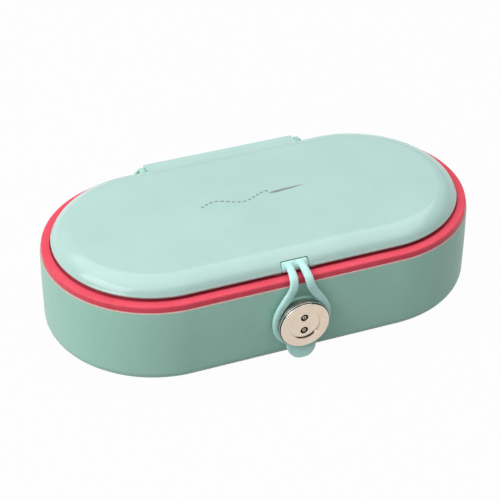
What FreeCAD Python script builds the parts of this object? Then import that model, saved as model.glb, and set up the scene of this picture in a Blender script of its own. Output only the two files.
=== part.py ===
import FreeCAD, Part
import math
import os

os.makedirs("parts", exist_ok=True)
vec = FreeCAD.Vector

# A sewing case: a drafted tub, an inner tray whose rim shows as a band, a hinged lid and a
# soft loop that hooks over a round stud. Millimetres. X runs along the case, -Y is the front
# with the stud, Z is up, and the origin is the middle of the case's flat underside.

# Case outline, which every ring of the case follows
case_length = 198.0
case_width = 101.6

# Tub
base_height = 37.1
base_draft = 0.2
base_foot_radius = 5.0
base_wall = 2.4
base_floor = 2.4
base_inner_bevel = 2.0

# Tray with the band that shows between tub and lid
rim_inset = 0.7
rim_thickness = 3.0
rim_edge_radius = 0.9
tray_wall = 1.6
tray_floor = 1.8
tray_rise = 4.6
tray_draft = 0.8
tray_corner_bevel = 2.4
lip_height = 1.9
lip_clearance = 1.0
lip_edge_bevel = 0.5

# Lid
lid_inset = 5.2
lid_gap = 0.4
lid_height = 7.5
lid_edge_reach = 9.0
lid_wall = 2.0

# Hinge at the back of the lid
flap_half_length = 36.5
flap_drop = 3.7
knuckle_radius = 2.9
knuckle_setback = 2.6
heel_radius = 1.2
flap_root_share = 0.85
hinge_pin_radius = 1.2
hinge_pin_half_length = 39.5
hinge_opening_degrees = 110.0
ear_gap = 1.4
ear_top_width = 1.0
ear_foot_width = 3.9
ear_radius = 2.5
shelf_thickness = 2.0
shelf_depth = 5.8
gusset_thickness = 2.0
gusset_drop = 9.0
stop_clearance = 0.1

# Stud that the loop hooks over
stud_height_share = 0.5418
stud_pad_radius = 10.6
stud_pad_rise = 1.1
stud_inner_pad_radius = 5.5
stud_inner_pad_depth = 0.3
cap_radius = 11.53
cap_thickness = 1.7
cap_edge_radius = 0.8
dish_radius = 7.2
dish_depth = 0.8
dish_edge_bevel = 0.3
cap_hole_radius = 1.45
cap_hole_offset = 3.4
cap_hole_bevel = 0.35
flange_radius = 11.2
flange_thickness = 1.1
flange_edge_bevel = 0.4
post_radius = 3.6
post_length = 2.84
stud_screw_radius = 1.5
stud_screw_head_radius = 2.75
stud_screw_head_height = 2.0
stud_screw_reach = 2.9
stud_screw_slot_width = 0.8
stud_screw_slot_depth = 0.8
washer_radius = 3.6
washer_thickness = 0.5

# Loop, its pin and the lid's window
window_half_width = 6.4
window_height = 4.3
strap_pin_radius = 0.8
strap_pin_setback = 1.6
strap_pin_height = 1.85
cheek_width = 3.0
cheek_radius = 2.4
cheek_clearance = 1.0
strap_knuckle_radius = 1.75
strap_side_gap = 0.4
strap_thickness = 2.2
strap_gap = 0.3
strap_bend_radius = 2.0
leg_gap_at_pin = 2.6
leg_width_at_pin = 3.3
leg_gap = 3.4
leg_width = 4.0
leg_knee_drop = 4.3
leg_knee_radius = 5.0
loop_radius = 13.4
loop_width = 3.5
tab_half_width = 7.0
tab_taper = 0.7
tab_corner_share = 0.64
tab_lift = 1.4
tab_flare = 2.0
tab_flare_share = 0.88

# Dividers and the rack for thread spools
divider_thickness = 1.6
divider_top_gap = 3.6
divider_inset = 6.1
long_divider_offset = 12.0
finger_radius = 9.0
finger_depth = 6.0
slot_rib_width = 1.5
slot_rib_depth = 1.6
rack_end_gap = 4.0
rack_width = 12.0
rack_thickness = 2.4
rack_setback = 16.0
peg_pitch = 16.0
peg_radius = 2.6
peg_tip_radius = 1.6
peg_tip_height = 1.4
peg_height = 20.0
spigot_radius = 1.6

# Screws that hold the tray in the tub, driven from below
tray_screw_margin = 14.0
tray_screw_bearing_degrees = 45.0
tray_screw_radius = 1.3
tray_screw_head_radius = 2.5
tray_screw_head_height = 1.6
tray_screw_length = 5.4
tray_screw_well_depth = 2.4
tray_screw_well_radius = 2.9
tray_boss_radius = 3.5
well_wall = 2.2

# Lining of the lid and what it carries
liner_thickness = 1.2
liner_gap = 1.6
liner_edge_gap = 0.6
liner_corner_bevel = 0.8
liner_screw_margin = 4.6
liner_screw_bearing_degrees = 50.0
liner_screw_radius = 1.0
liner_screw_head_radius = 1.9
liner_screw_head_height = 1.2
liner_screw_length = 3.8
lid_boss_radius = 3.0
pad_length_share = 0.28
pad_width = 34.0
pad_thickness = 5.0
pad_corner_radius = 6.0
pad_middle_gap = 2.7
frame_width = 3.0
frame_height = 2.6
frame_edge_radius = 0.8
band_width = 14.0
band_thickness = 0.9
band_arch_height = 3.2
band_arch_share = 0.08
band_land_length = 6.0
band_arch_count = 3
rivet_head_radius = 2.2
rivet_head_height = 1.0
rivet_stem_radius = 1.0
rivet_clinch_radius = 1.7
rivet_clinch_height = 0.5

# Fits
running_clearance = 0.05
push_clearance = 0.02
loose_clearance = 0.3
soft_clearance = 0.3
overrun = 5.0
full_round_share = 0.999
recess_arm_share = 0.33
lid_inner_steps = 3

# Sizes that follow from those above
half_width = case_width / 2
half_straight = (case_length - case_width) / 2
ledge_height = base_height + rim_thickness
lid_bottom = ledge_height + lid_gap
lid_top = lid_bottom + lid_height
lid_radius = half_width - lid_inset
lip_outer = lid_radius - lid_wall - lip_clearance
lip_inner = lip_outer - tray_wall
tray_floor_bottom = base_floor + tray_rise
tray_floor_top = tray_floor_bottom + tray_floor
stud_height = base_height * stud_height_share
divider_spacing = 2 * (half_straight - divider_inset)
rack_length = divider_spacing - 2 * rack_end_gap
pad_length = case_length * pad_length_share
pad_centre = pad_middle_gap + frame_width + soft_clearance + pad_length / 2
band_arch_length = case_length * band_arch_share
hinge_y = half_width - knuckle_setback
hinge_z = lid_top - flap_drop - knuckle_radius
hinge_back = hinge_y + knuckle_radius
heel_centre = knuckle_radius - heel_radius
stop_angle = math.radians(hinge_opening_degrees) - math.pi / 4
heel_fall = heel_centre * math.sqrt(2) * math.sin(stop_angle) + heel_radius
shelf_top = hinge_z - heel_fall - stop_clearance
ear_inside = flap_half_length + ear_gap
ear_outside = ear_inside + ear_foot_width
pad_face = -(half_width + stud_pad_rise)
stud_flange_back = pad_face - post_length
stud_flange_front = stud_flange_back - flange_thickness
cap_front = stud_flange_front - cap_thickness
strap_back = pad_face - strap_gap
strap_front = strap_back - strap_thickness
strap_pin_y = -(lid_radius - strap_pin_setback)
strap_pin_z = lid_bottom + strap_pin_height
leg_foot = ledge_height - rim_thickness
divider_top = ledge_height - divider_top_gap
liner_top = lid_top - lid_wall - liner_gap
liner_bottom = liner_top - liner_thickness


# Drawing planes: across is seen from the front, side from the left, above from the top
def across(a, b):
    return vec(a, 0, b)


def side(a, b):
    return vec(0, a, b)


def above(a, b):
    return vec(a, b, 0)


# Edges of a closed outline. Each corner is (a, b), (a, b, radius) or (a, b, setback, bevel).
bevel = "bevel"


def rounded(corners, plane):
    points = [plane(c[0], c[1]) for c in corners]
    ends = []
    arcs = []
    for i, corner in enumerate(points):
        if len(corners[i]) == 2:
            ends.append((corner, corner))
            arcs.append(None)
            continue
        size = corners[i][2]
        before = (points[i - 1] - corner).normalize()
        after = (points[(i + 1) % len(points)] - corner).normalize()
        if len(corners[i]) == 4:
            start = corner + before * size
            end = corner + after * size
            arcs.append(Part.makeLine(start, end))
        else:
            half_angle = before.getAngle(after) / 2
            bisector = (before + after).normalize()
            start = corner + before * (size / math.tan(half_angle))
            end = corner + after * (size / math.tan(half_angle))
            middle = corner + bisector * (size / math.sin(half_angle) - size)
            arcs.append(Part.Arc(start, middle, end).toShape())
        ends.append((start, end))
    edges = []
    for i, arc in enumerate(arcs):
        if arc:
            edges.append(arc)
        following = ends[(i + 1) % len(ends)][0]
        if ends[i][1].distanceToPoint(following) > Part.Precision.confusion():
            edges.append(Part.makeLine(ends[i][1], following))
    return edges


def face_of(edges):
    return Part.Face(Part.Wire(Part.__sortEdges__(edges)))


# A quarter of an ellipse from a point at its side to a point at its top
def quarter_ellipse(centre, at_side, at_top):
    if centre.distanceToPoint(at_side) >= centre.distanceToPoint(at_top):
        ellipse = Part.Ellipse(at_side, at_top, centre)
    else:
        ellipse = Part.Ellipse(at_top, at_side, centre)
    return Part.ArcOfEllipse(ellipse, 0, math.pi / 2).toShape()


def one(shape):
    return shape.removeSplitter().Solids[0]


# Solid whose section, drawn with the distance out from the centre line as its first
# coordinate, goes round the case: two straight sides and two half-turned ends
def racetrack(edges):
    section = face_of(edges)
    turned = section.copy()
    turned.rotate(vec(), vec(0, 0, 1), -90)
    turned.translate(vec(half_straight, 0, 0))
    right = turned.revolve(vec(half_straight, 0, 0), vec(0, 0, 1), 180)
    left = right.copy()
    left.rotate(vec(), vec(0, 0, 1), 180)
    flank = section.copy()
    flank.rotate(vec(), vec(0, 0, 1), 90)
    flank.translate(vec(-half_straight, 0, 0))
    back = flank.extrude(vec(2 * half_straight, 0, 0))
    front = back.copy()
    front.rotate(vec(), vec(0, 0, 1), 180)
    return one(right.fuse([left, back, front]))


def block(x_low, x_high, y_low, y_high, z_low, z_high):
    corner = vec(x_low, y_low, z_low)
    return Part.makeBox(x_high - x_low, y_high - y_low, z_high - z_low, corner)


def rod(start, direction, radius, length):
    return Part.makeCylinder(radius, length, start, direction)


# A prism: an outline drawn in one plane at zero, moved to start and pushed along a vector
def prism(corners, plane, start, along):
    face = face_of(rounded(corners, plane))
    face.translate(start)
    return face.extrude(along)


# Both mirror images across the plane X = 0
def both_ends(shape):
    return [shape, shape.mirror(vec(), vec(1, 0, 0))]


def rounded_rectangle(length, width, radius):
    signs = [(-1, -1), (1, -1), (1, 1), (-1, 1)]
    return [(sx * length / 2, sy * width / 2, radius) for sx, sy in signs]


# Four places in the round ends, at a distance and a bearing from each end's centre
def end_places(distance, bearing_degrees):
    bearing = math.radians(bearing_degrees)
    x = half_straight + distance * math.cos(bearing)
    y = distance * math.sin(bearing)
    return [(sx * x, sy * y) for sx in (-1, 1) for sy in (-1, 1)]


def tray_screw_places():
    return end_places(tray_inner_radius(tray_floor_top) - tray_screw_margin, tray_screw_bearing_degrees)


def liner_out():
    return lid_radius - lid_edge_reach - liner_edge_gap


def liner_screw_places():
    return end_places(liner_out() - liner_screw_margin, liner_screw_bearing_degrees)


def base_outline(inset, floor, foot_finish, top):
    foot = half_width - base_draft - inset
    rim = half_width - inset + base_draft * (top - base_height) / base_height
    return rounded([(0, floor), (foot, floor) + foot_finish, (rim, top), (0, top)], across)


# Half the tub's outer width at a height, less than at its rim because of the draft
def wall_face(height):
    return half_width - base_draft * (base_height - height) / base_height


# The inner pad stands clear of the drafted wall at its lowest point
def washer_seat():
    return base_wall + stud_inner_pad_depth - wall_face(stud_height - stud_inner_pad_radius)


# Flat round pad on the drafted front wall, so the stud and its washer sit square
def stud_pads():
    outer = rod(vec(0, pad_face, stud_height), vec(0, 1, 0), stud_pad_radius, base_wall)
    inner_start = pad_face + base_wall / 2
    inner_depth = washer_seat() - inner_start
    inner = rod(vec(0, inner_start, stud_height), vec(0, 1, 0), stud_inner_pad_radius, inner_depth)
    return [outer, inner]


# Ears that carry the hinge pin, each standing on the shelf behind the lid
def hinge_ears():
    ear_bottom = shelf_top - shelf_thickness / 2
    ear_top = hinge_z + ear_radius
    body = prism(
        [
            (hinge_y - ear_radius, ear_bottom),
            (hinge_y - ear_radius, ear_top, ear_radius * full_round_share),
            (hinge_y + ear_radius, ear_top, ear_radius * full_round_share),
            (hinge_y + ear_radius, ear_bottom),
        ],
        side, vec(ear_inside, 0, 0), vec(ear_foot_width, 0, 0),
    )
    slope = prism(
        [
            (ear_inside, ear_bottom),
            (ear_outside, ear_bottom),
            (ear_outside, base_height),
            (ear_inside + ear_top_width, ear_top),
            (ear_inside, ear_top),
        ],
        across, vec(0, hinge_back + overrun, 0), vec(0, -(2 * overrun + 2 * knuckle_radius), 0),
    )
    return both_ends(body.common(slope))


# Shelf under the hinge with a gusset below each ear
def hinge_shelf():
    inner = half_width - shelf_depth
    outer = half_width - rim_inset
    shelf = block(-ear_outside, ear_outside, inner, outer, shelf_top - shelf_thickness, shelf_top)
    gusset_top = shelf_top - shelf_thickness / 2
    gusset_foot = gusset_top - gusset_drop
    gusset = prism(
        [(inner, gusset_top), (outer, gusset_top), (outer, gusset_foot), (outer - base_wall, gusset_foot)],
        side, vec(ear_inside, 0, 0), vec(gusset_thickness, 0, 0),
    )
    return [shelf] + both_ends(gusset)


# Pads inside the floor, each with a well below for a screw head
def screw_wells(shape):
    pad_top = tray_floor_bottom - tray_boss_height()
    for x, y in tray_screw_places():
        start = vec(x, y, 0)
        pad_radius = tray_screw_well_radius + well_wall
        shape = shape.fuse(rod(vec(x, y, base_floor / 2), vec(0, 0, 1), pad_radius, pad_top - base_floor / 2))
        shape = shape.cut(rod(start, vec(0, 0, 1), tray_screw_well_radius, tray_screw_well_depth))
        shape = shape.cut(rod(start, vec(0, 0, 1), tray_screw_radius + loose_clearance, pad_top))
    return shape


def tray_boss_height():
    return tray_rise / 2


def make_base_shell():
    shell = racetrack(base_outline(0, 0, (base_foot_radius,), base_height))
    hollow = racetrack(base_outline(base_wall, base_floor, (base_inner_bevel, bevel), base_height + overrun))
    shell = shell.cut(hollow)
    shell = shell.fuse(stud_pads() + hinge_shelf() + hinge_ears())
    recess = block(-ear_inside, ear_inside, half_width - shelf_depth, half_width + overrun,
                   shelf_top, lid_top)
    shell = shell.cut(recess)
    pin_hole = rod(vec(-ear_outside, hinge_y, hinge_z), vec(1, 0, 0),
                   hinge_pin_radius + push_clearance, 2 * ear_outside)
    shell = shell.cut(pin_hole)
    stud_hole = rod(vec(0, pad_face - overrun, stud_height), vec(0, 1, 0),
                    stud_screw_radius + loose_clearance / 2, 3 * overrun)
    shell = shell.cut(stud_hole)
    return one(screw_wells(shell))


def tray_inner_radius(height):
    return lip_inner - tray_draft * (ledge_height - height) / (ledge_height - tray_floor_top)


def tray_outer_radius(height):
    return tray_inner_radius(height) + tray_wall


# Two ribs on each long wall of the tray that hold an end of a cross divider
def divider_slots():
    ribs = []
    slot = divider_thickness / 2 + loose_clearance / 2
    inner = tray_inner_radius(tray_floor_top) - slot_rib_depth
    outer = tray_inner_radius(tray_floor_top) + tray_wall / 2
    for place in (-divider_spacing / 2, divider_spacing / 2):
        for low in (place - slot - slot_rib_width, place + slot):
            for y_low in (inner, -outer):
                ribs.append(block(low, low + slot_rib_width, y_low, y_low + outer - inner,
                                  tray_floor_top - tray_floor / 2, divider_top))
    return ribs


def make_rim_tray():
    rim_radius = half_width - rim_inset
    outside = [
        (0, tray_floor_bottom),
        (tray_outer_radius(tray_floor_bottom), tray_floor_bottom, tray_corner_bevel, bevel),
        (lip_outer, base_height),
        (rim_radius, base_height),
        (rim_radius, ledge_height, rim_edge_radius),
        (lip_outer, ledge_height),
        (lip_outer, ledge_height + lip_height, lip_edge_bevel, bevel),
        (0, ledge_height + lip_height),
    ]
    tray = racetrack(rounded(outside, across))
    mouth = ledge_height + lip_height + overrun
    inside = [
        (0, tray_floor_top),
        (tray_inner_radius(tray_floor_top), tray_floor_top, tray_corner_bevel - tray_wall / 2, bevel),
        (lip_inner, ledge_height),
        (lip_inner, mouth),
        (0, mouth),
    ]
    tray = tray.cut(racetrack(rounded(inside, across)))
    tray = tray.fuse(divider_slots())
    reach = ear_outside + loose_clearance
    behind_lid = block(-reach, reach, half_width - shelf_depth - loose_clearance, half_width + overrun,
                       base_height - overrun, ledge_height + overrun)
    tray = tray.cut(behind_lid)
    strap_room = window_half_width + cheek_width + cheek_clearance
    tray = tray.cut(block(-strap_room, strap_room, -half_width, -lip_inner + tray_wall,
                          ledge_height, ledge_height + lip_height + overrun))
    for x, y in tray_screw_places():
        boss_bottom = tray_floor_bottom - tray_boss_height()
        boss = rod(vec(x, y, boss_bottom), vec(0, 0, 1), tray_boss_radius,
                   tray_boss_height() + tray_floor / 2)
        tray = tray.fuse(boss)
        pilot = tray_screw_length + tray_screw_well_depth - boss_bottom + push_clearance
        tray = tray.cut(rod(vec(x, y, boss_bottom), vec(0, 0, 1), tray_screw_radius + push_clearance, pilot))
    for x in spigot_places():
        tray = tray.cut(rod(vec(x, rack_y(), tray_floor_bottom), vec(0, 0, 1),
                            spigot_radius + running_clearance, tray_floor))
    return one(tray)


def make_tray_screws():
    screws = []
    for x, y in tray_screw_places():
        seat = tray_screw_well_depth
        head_bottom = seat - tray_screw_head_height
        head = rod(vec(x, y, head_bottom), vec(0, 0, 1), tray_screw_head_radius, tray_screw_head_height)
        shank = rod(vec(x, y, seat), vec(0, 0, 1), tray_screw_radius, tray_screw_length)
        screws.append(one(cross_recess(head.fuse(shank), x, y, head_bottom, tray_screw_radius,
                                       tray_screw_head_height)))
    return Part.makeCompound(screws)


# Cross-shaped driver recess in a screw head that faces down
def cross_recess(screw, x, y, bottom, half_span, head_height):
    arm = half_span * recess_arm_share
    depth = head_height / 2
    for long_x, long_y in ((half_span, arm), (arm, half_span)):
        screw = screw.cut(block(x - long_x, x + long_x, y - long_y, y + long_y,
                                bottom - depth, bottom + depth))
    return screw


def divider_outline():
    foot = tray_inner_radius(tray_floor_top) - loose_clearance
    shoulder = tray_inner_radius(divider_top) - loose_clearance
    return foot, shoulder


# Half-round cut at a divider's top edge for a fingertip
def finger_cut(direction, start):
    return rod(start, direction, finger_radius, 2 * divider_thickness)


def long_divider_half_length():
    return divider_spacing / 2 - divider_thickness / 2 - loose_clearance


def make_cross_dividers():
    foot, shoulder = divider_outline()
    plates = []
    outline = [
        (-shoulder, divider_top, divider_thickness),
        (-foot, tray_floor_top, tray_corner_bevel, bevel),
        (foot, tray_floor_top, tray_corner_bevel, bevel),
        (shoulder, divider_top, divider_thickness),
    ]
    for sign in (-1, 1):
        x = sign * divider_spacing / 2
        plate = prism(outline, side, vec(x - divider_thickness / 2, 0, 0), vec(divider_thickness, 0, 0))
        inner_face = x - sign * divider_thickness / 2
        slot = divider_thickness / 2 + loose_clearance / 2
        rib_low, rib_high = sorted((inner_face, inner_face - sign * slot_rib_depth))
        for y_low in (long_divider_offset - slot - slot_rib_width, long_divider_offset + slot):
            plate = plate.fuse(block(rib_low, rib_high, y_low, y_low + slot_rib_width,
                                     tray_floor_top, divider_top))
        centre = vec(x - divider_thickness, -finger_radius, divider_top + finger_radius - finger_depth)
        plates.append(one(plate.cut(finger_cut(vec(1, 0, 0), centre))))
    return Part.makeCompound(plates)


def make_long_divider():
    half = long_divider_half_length()
    outline = [
        (-half, tray_floor_top),
        (half, tray_floor_top),
        (half, divider_top, divider_thickness),
        (-half, divider_top, divider_thickness),
    ]
    plate = prism(outline, across, vec(0, long_divider_offset - divider_thickness / 2, 0),
                  vec(0, divider_thickness, 0))
    centre = vec(0, long_divider_offset - divider_thickness, divider_top + finger_radius - finger_depth)
    return one(plate.cut(finger_cut(vec(0, 1, 0), centre)))


def rack_y():
    return long_divider_offset - rack_setback


def peg_count():
    return int((rack_length - rack_width) // peg_pitch) + 1


def spigot_places():
    spacing = peg_pitch * (peg_count() - 1) / 2
    return [-spacing / 2, spacing / 2]


def make_spool_rack():
    half_y = rack_width / 2
    corner = half_y * full_round_share
    strip = prism(rounded_rectangle(rack_length, rack_width, corner), above,
                  vec(0, rack_y(), tray_floor_top), vec(0, 0, rack_thickness))
    count = peg_count()
    peg_foot = tray_floor_top + rack_thickness
    pieces = []
    for i in range(count):
        x = (i - (count - 1) / 2) * peg_pitch
        pieces.append(rod(vec(x, rack_y(), peg_foot), vec(0, 0, 1), peg_radius, peg_height))
        pieces.append(Part.makeCone(peg_radius, peg_tip_radius, peg_tip_height,
                                    vec(x, rack_y(), peg_foot + peg_height), vec(0, 0, 1)))
    for x in spigot_places():
        pieces.append(rod(vec(x, rack_y(), tray_floor_bottom), vec(0, 0, 1), spigot_radius, tray_floor))
    return one(strip.fuse(pieces))


def make_hinge_pin():
    start = vec(-hinge_pin_half_length, hinge_y, hinge_z)
    return rod(start, vec(1, 0, 0), hinge_pin_radius, 2 * hinge_pin_half_length)


# A turned piece: its outline is drawn with radius first and distance towards the front second
def turned_to_front(corners):
    face = face_of(rounded(corners, lambda radius, forward: vec(radius, -forward, stud_height)))
    return face.revolve(vec(0, 0, stud_height), vec(0, 1, 0), 360)


# Pressed cap with a dished face and two thread holes
def make_button_cap():
    front, back = -cap_front, -stud_flange_front
    cap = turned_to_front([
        (0, back),
        (cap_radius, back),
        (cap_radius, front, cap_edge_radius),
        (dish_radius + dish_edge_bevel, front),
        (dish_radius, front - dish_depth),
        (0, front - dish_depth),
    ])
    for up in (-cap_hole_offset, cap_hole_offset):
        hole = vec(0, cap_front, stud_height + up)
        cap = cap.cut(rod(hole, vec(0, 1, 0), cap_hole_radius, cap_thickness))
        bevel_start = hole + vec(0, dish_depth, 0)
        cap = cap.cut(Part.makeCone(cap_hole_radius + cap_hole_bevel, cap_hole_radius, cap_hole_bevel,
                                    bevel_start, vec(0, 1, 0)))
    return one(cap)


# Back plate and post in one turned piece, threaded for the screw from inside
def make_button_stud():
    seat, shoulder, front = -pad_face, -stud_flange_back, -stud_flange_front
    bore = stud_screw_radius + push_clearance
    depth = stud_screw_reach + push_clearance
    stud = turned_to_front([
        (bore, seat),
        (post_radius, seat),
        (post_radius, shoulder),
        (flange_radius, shoulder, flange_edge_bevel, bevel),
        (flange_radius, front, flange_edge_bevel, bevel),
        (0, front),
        (0, seat + depth),
        (bore, seat + depth),
    ])
    return one(stud)


def make_button_washer():
    start = vec(0, washer_seat(), stud_height)
    ring = rod(start, vec(0, 1, 0), washer_radius, washer_thickness)
    return one(ring.cut(rod(start, vec(0, 1, 0), stud_screw_radius + running_clearance, washer_thickness)))


def make_button_screw():
    seat = washer_seat() + washer_thickness
    head = rod(vec(0, seat, stud_height), vec(0, 1, 0), stud_screw_head_radius, stud_screw_head_height)
    tip = pad_face - stud_screw_reach
    shank = rod(vec(0, tip, stud_height), vec(0, 1, 0), stud_screw_radius, seat - tip)
    slot_half = stud_screw_slot_width / 2
    slot_floor = seat + stud_screw_head_height - stud_screw_slot_depth
    slot = block(-stud_screw_head_radius, stud_screw_head_radius, slot_floor, slot_floor + overrun,
                 stud_height - slot_half, stud_height + slot_half)
    return one(head.fuse(shank).cut(slot))


# Lid section: a flat top whose wide edge falls in a quarter of an ellipse
def lid_outline():
    crown = lid_radius - lid_edge_reach
    corners = [across(crown, lid_top), across(0, lid_top), across(0, lid_bottom),
               across(lid_radius, lid_bottom)]
    edges = [Part.makeLine(corners[i], corners[i + 1]) for i in range(3)]
    edges.append(quarter_ellipse(across(crown, lid_bottom), corners[3], corners[0]))
    return edges


# The hollow under the lid follows the same edge in straight steps
def lid_hollow_outline():
    crown = lid_radius - lid_edge_reach
    reach, rise = lid_edge_reach - lid_wall, lid_height - lid_wall
    corners = [(0, lid_bottom - overrun), (crown + reach, lid_bottom - overrun)]
    for i in range(lid_inner_steps + 1):
        angle = i * math.pi / 2 / lid_inner_steps
        corners.append((crown + reach * math.cos(angle), lid_bottom + rise * math.sin(angle)))
    corners.append((0, lid_bottom + rise))
    return rounded(corners, across)


# Flap that leaves the lid's back edge and rolls round the hinge pin, with a square heel
def hinge_flap():
    root = lid_radius - lid_wall * flap_root_share
    top = hinge_z + knuckle_radius
    edges = [
        Part.makeLine(side(hinge_back, top - heel_radius), side(hinge_back, hinge_z)),
        Part.Arc(side(hinge_back, hinge_z), side(hinge_y, hinge_z - knuckle_radius),
                 side(hinge_y - knuckle_radius, hinge_z)).toShape(),
        Part.makeLine(side(hinge_y - knuckle_radius, hinge_z), side(root, hinge_z)),
        Part.makeLine(side(root, hinge_z), side(root, top)),
        Part.makeLine(side(root, top), side(hinge_back - heel_radius, top)),
        Part.Arc(side(hinge_back - heel_radius, top),
                 side(hinge_y + heel_centre + heel_radius * math.sin(math.pi / 4),
                      hinge_z + heel_centre + heel_radius * math.sin(math.pi / 4)),
                 side(hinge_back, top - heel_radius)).toShape(),
    ]
    face = face_of(edges)
    face.translate(vec(-flap_half_length, 0, 0))
    return face.extrude(vec(2 * flap_half_length, 0, 0))


def make_lid_shell():
    whole = racetrack(lid_outline())
    lid = whole.cut(racetrack(lid_hollow_outline()))
    cheek_end = window_half_width + cheek_width
    cheeks = rod(vec(-cheek_end, strap_pin_y, strap_pin_z), vec(1, 0, 0), cheek_radius, 2 * cheek_end)
    lid = lid.fuse([cheeks.common(whole), hinge_flap()])
    window = block(-window_half_width, window_half_width, -lid_radius - overrun,
                   strap_pin_y + cheek_radius + overrun, lid_bottom - overrun, lid_bottom + window_height)
    lid = lid.cut(window)
    lid = lid.cut(rod(vec(-cheek_end, strap_pin_y, strap_pin_z), vec(1, 0, 0),
                      strap_pin_radius + push_clearance, 2 * cheek_end))
    lid = lid.cut(rod(vec(-flap_half_length, hinge_y, hinge_z), vec(1, 0, 0),
                      hinge_pin_radius + running_clearance, 2 * flap_half_length))
    for x, y in liner_screw_places():
        boss = rod(vec(x, y, liner_top), vec(0, 0, 1), lid_boss_radius, liner_gap + lid_wall / 2)
        lid = lid.fuse(boss)
        depth = liner_screw_length - liner_thickness + push_clearance
        lid = lid.cut(rod(vec(x, y, liner_top), vec(0, 0, 1), liner_screw_radius + push_clearance, depth))
    return one(lid)


def make_lid_liner():
    out = liner_out()
    section = [
        (0, liner_bottom),
        (out, liner_bottom, liner_corner_bevel, bevel),
        (out, liner_top + liner_gap),
        (out - liner_thickness, liner_top + liner_gap),
        (out - liner_thickness, liner_top),
        (0, liner_top),
    ]
    liner = racetrack(rounded(section, across))
    for x, y in liner_screw_places():
        liner = liner.cut(rod(vec(x, y, liner_bottom), vec(0, 0, 1), liner_screw_radius + loose_clearance / 2,
                              liner_thickness))
    for x in rivet_places():
        liner = liner.cut(rod(vec(x, 0, liner_bottom), vec(0, 0, 1), rivet_stem_radius + push_clearance,
                              liner_thickness))
    return one(liner)


def make_liner_screws():
    screws = []
    for x, y in liner_screw_places():
        bottom = liner_bottom - liner_screw_head_height
        head = rod(vec(x, y, bottom), vec(0, 0, 1), liner_screw_head_radius, liner_screw_head_height)
        shank = rod(vec(x, y, liner_bottom), vec(0, 0, 1), liner_screw_radius, liner_screw_length)
        screws.append(one(cross_recess(head.fuse(shank), x, y, bottom, liner_screw_radius,
                                       liner_screw_head_height)))
    return Part.makeCompound(screws)


def make_needle_pad():
    start = vec(-pad_centre, 0, liner_bottom)
    return one(prism(rounded_rectangle(pad_length, pad_width, pad_corner_radius), above, start,
                     vec(0, 0, -pad_thickness)))


def make_needle_pad_frame():
    start = vec(-pad_centre, 0, liner_bottom)
    grow = 2 * (frame_width + soft_clearance)
    outer_radius = pad_corner_radius + grow / 2
    outer = prism(rounded_rectangle(pad_length + grow, pad_width + grow, outer_radius), above, start,
                  vec(0, 0, -frame_height))
    lowest = liner_bottom - frame_height
    rim = [e for e in outer.Edges if e.BoundBox.ZMax < lowest + frame_height / 2]
    outer = outer.makeFillet(frame_edge_radius, rim)
    gap = 2 * soft_clearance
    opening = rounded_rectangle(pad_length + gap, pad_width + gap, pad_corner_radius + soft_clearance)
    inner = prism(opening, above, start, vec(0, 0, -frame_height))
    return one(outer.cut(inner))


def band_pitch():
    return band_arch_length + band_land_length


# The band starts at the middle of the lid
def rivet_places():
    first = band_land_length / 2
    return [first + band_pitch() * i for i in range(band_arch_count + 1)]


# Elastic band: flat where it is riveted down, arched between for tools
def make_tool_band():
    strips = []
    for x in rivet_places():
        strips.append(block(x - band_land_length / 2, x + band_land_length / 2, -band_width / 2,
                            band_width / 2, liner_bottom - band_thickness, liner_bottom))
    for x in rivet_places()[:-1]:
        start = x + band_land_length / 2
        end = start + band_arch_length
        middle = (start + end) / 2
        low = liner_bottom - band_thickness
        edges = [
            Part.Arc(across(start, liner_bottom), across(middle, liner_bottom - band_arch_height),
                     across(end, liner_bottom)).toShape(),
            Part.makeLine(across(end, liner_bottom), across(end, low)),
            Part.Arc(across(end, low), across(middle, low - band_arch_height), across(start, low)).toShape(),
            Part.makeLine(across(start, low), across(start, liner_bottom)),
        ]
        face = face_of(edges)
        face.translate(vec(0, -band_width / 2, 0))
        strips.append(face.extrude(vec(0, band_width, 0)))
    band = strips[0].fuse(strips[1:])
    for x in rivet_places():
        band = band.cut(rod(vec(x, 0, liner_bottom - band_thickness), vec(0, 0, 1),
                            rivet_stem_radius + running_clearance, band_thickness))
    return one(band)


def make_band_rivets():
    rivets = []
    for x in rivet_places():
        seat = liner_bottom - band_thickness
        dome_radius = (rivet_head_radius**2 + rivet_head_height**2) / (2 * rivet_head_height)
        ball = Part.makeSphere(dome_radius, vec(x, 0, seat - rivet_head_height + dome_radius))
        slab = rod(vec(x, 0, seat - rivet_head_height), vec(0, 0, 1), dome_radius, rivet_head_height)
        head = ball.common(slab)
        stem = rod(vec(x, 0, seat), vec(0, 0, 1), rivet_stem_radius, band_thickness + liner_thickness)
        clinch = rod(vec(x, 0, liner_top), vec(0, 0, 1), rivet_clinch_radius, rivet_clinch_height)
        rivets.append(one(head.fuse([stem, clinch])))
    return Part.makeCompound(rivets)


def make_strap_pin():
    half = window_half_width + cheek_width - strap_side_gap
    return rod(vec(-half, strap_pin_y, strap_pin_z), vec(1, 0, 0), strap_pin_radius, 2 * half)


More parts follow.
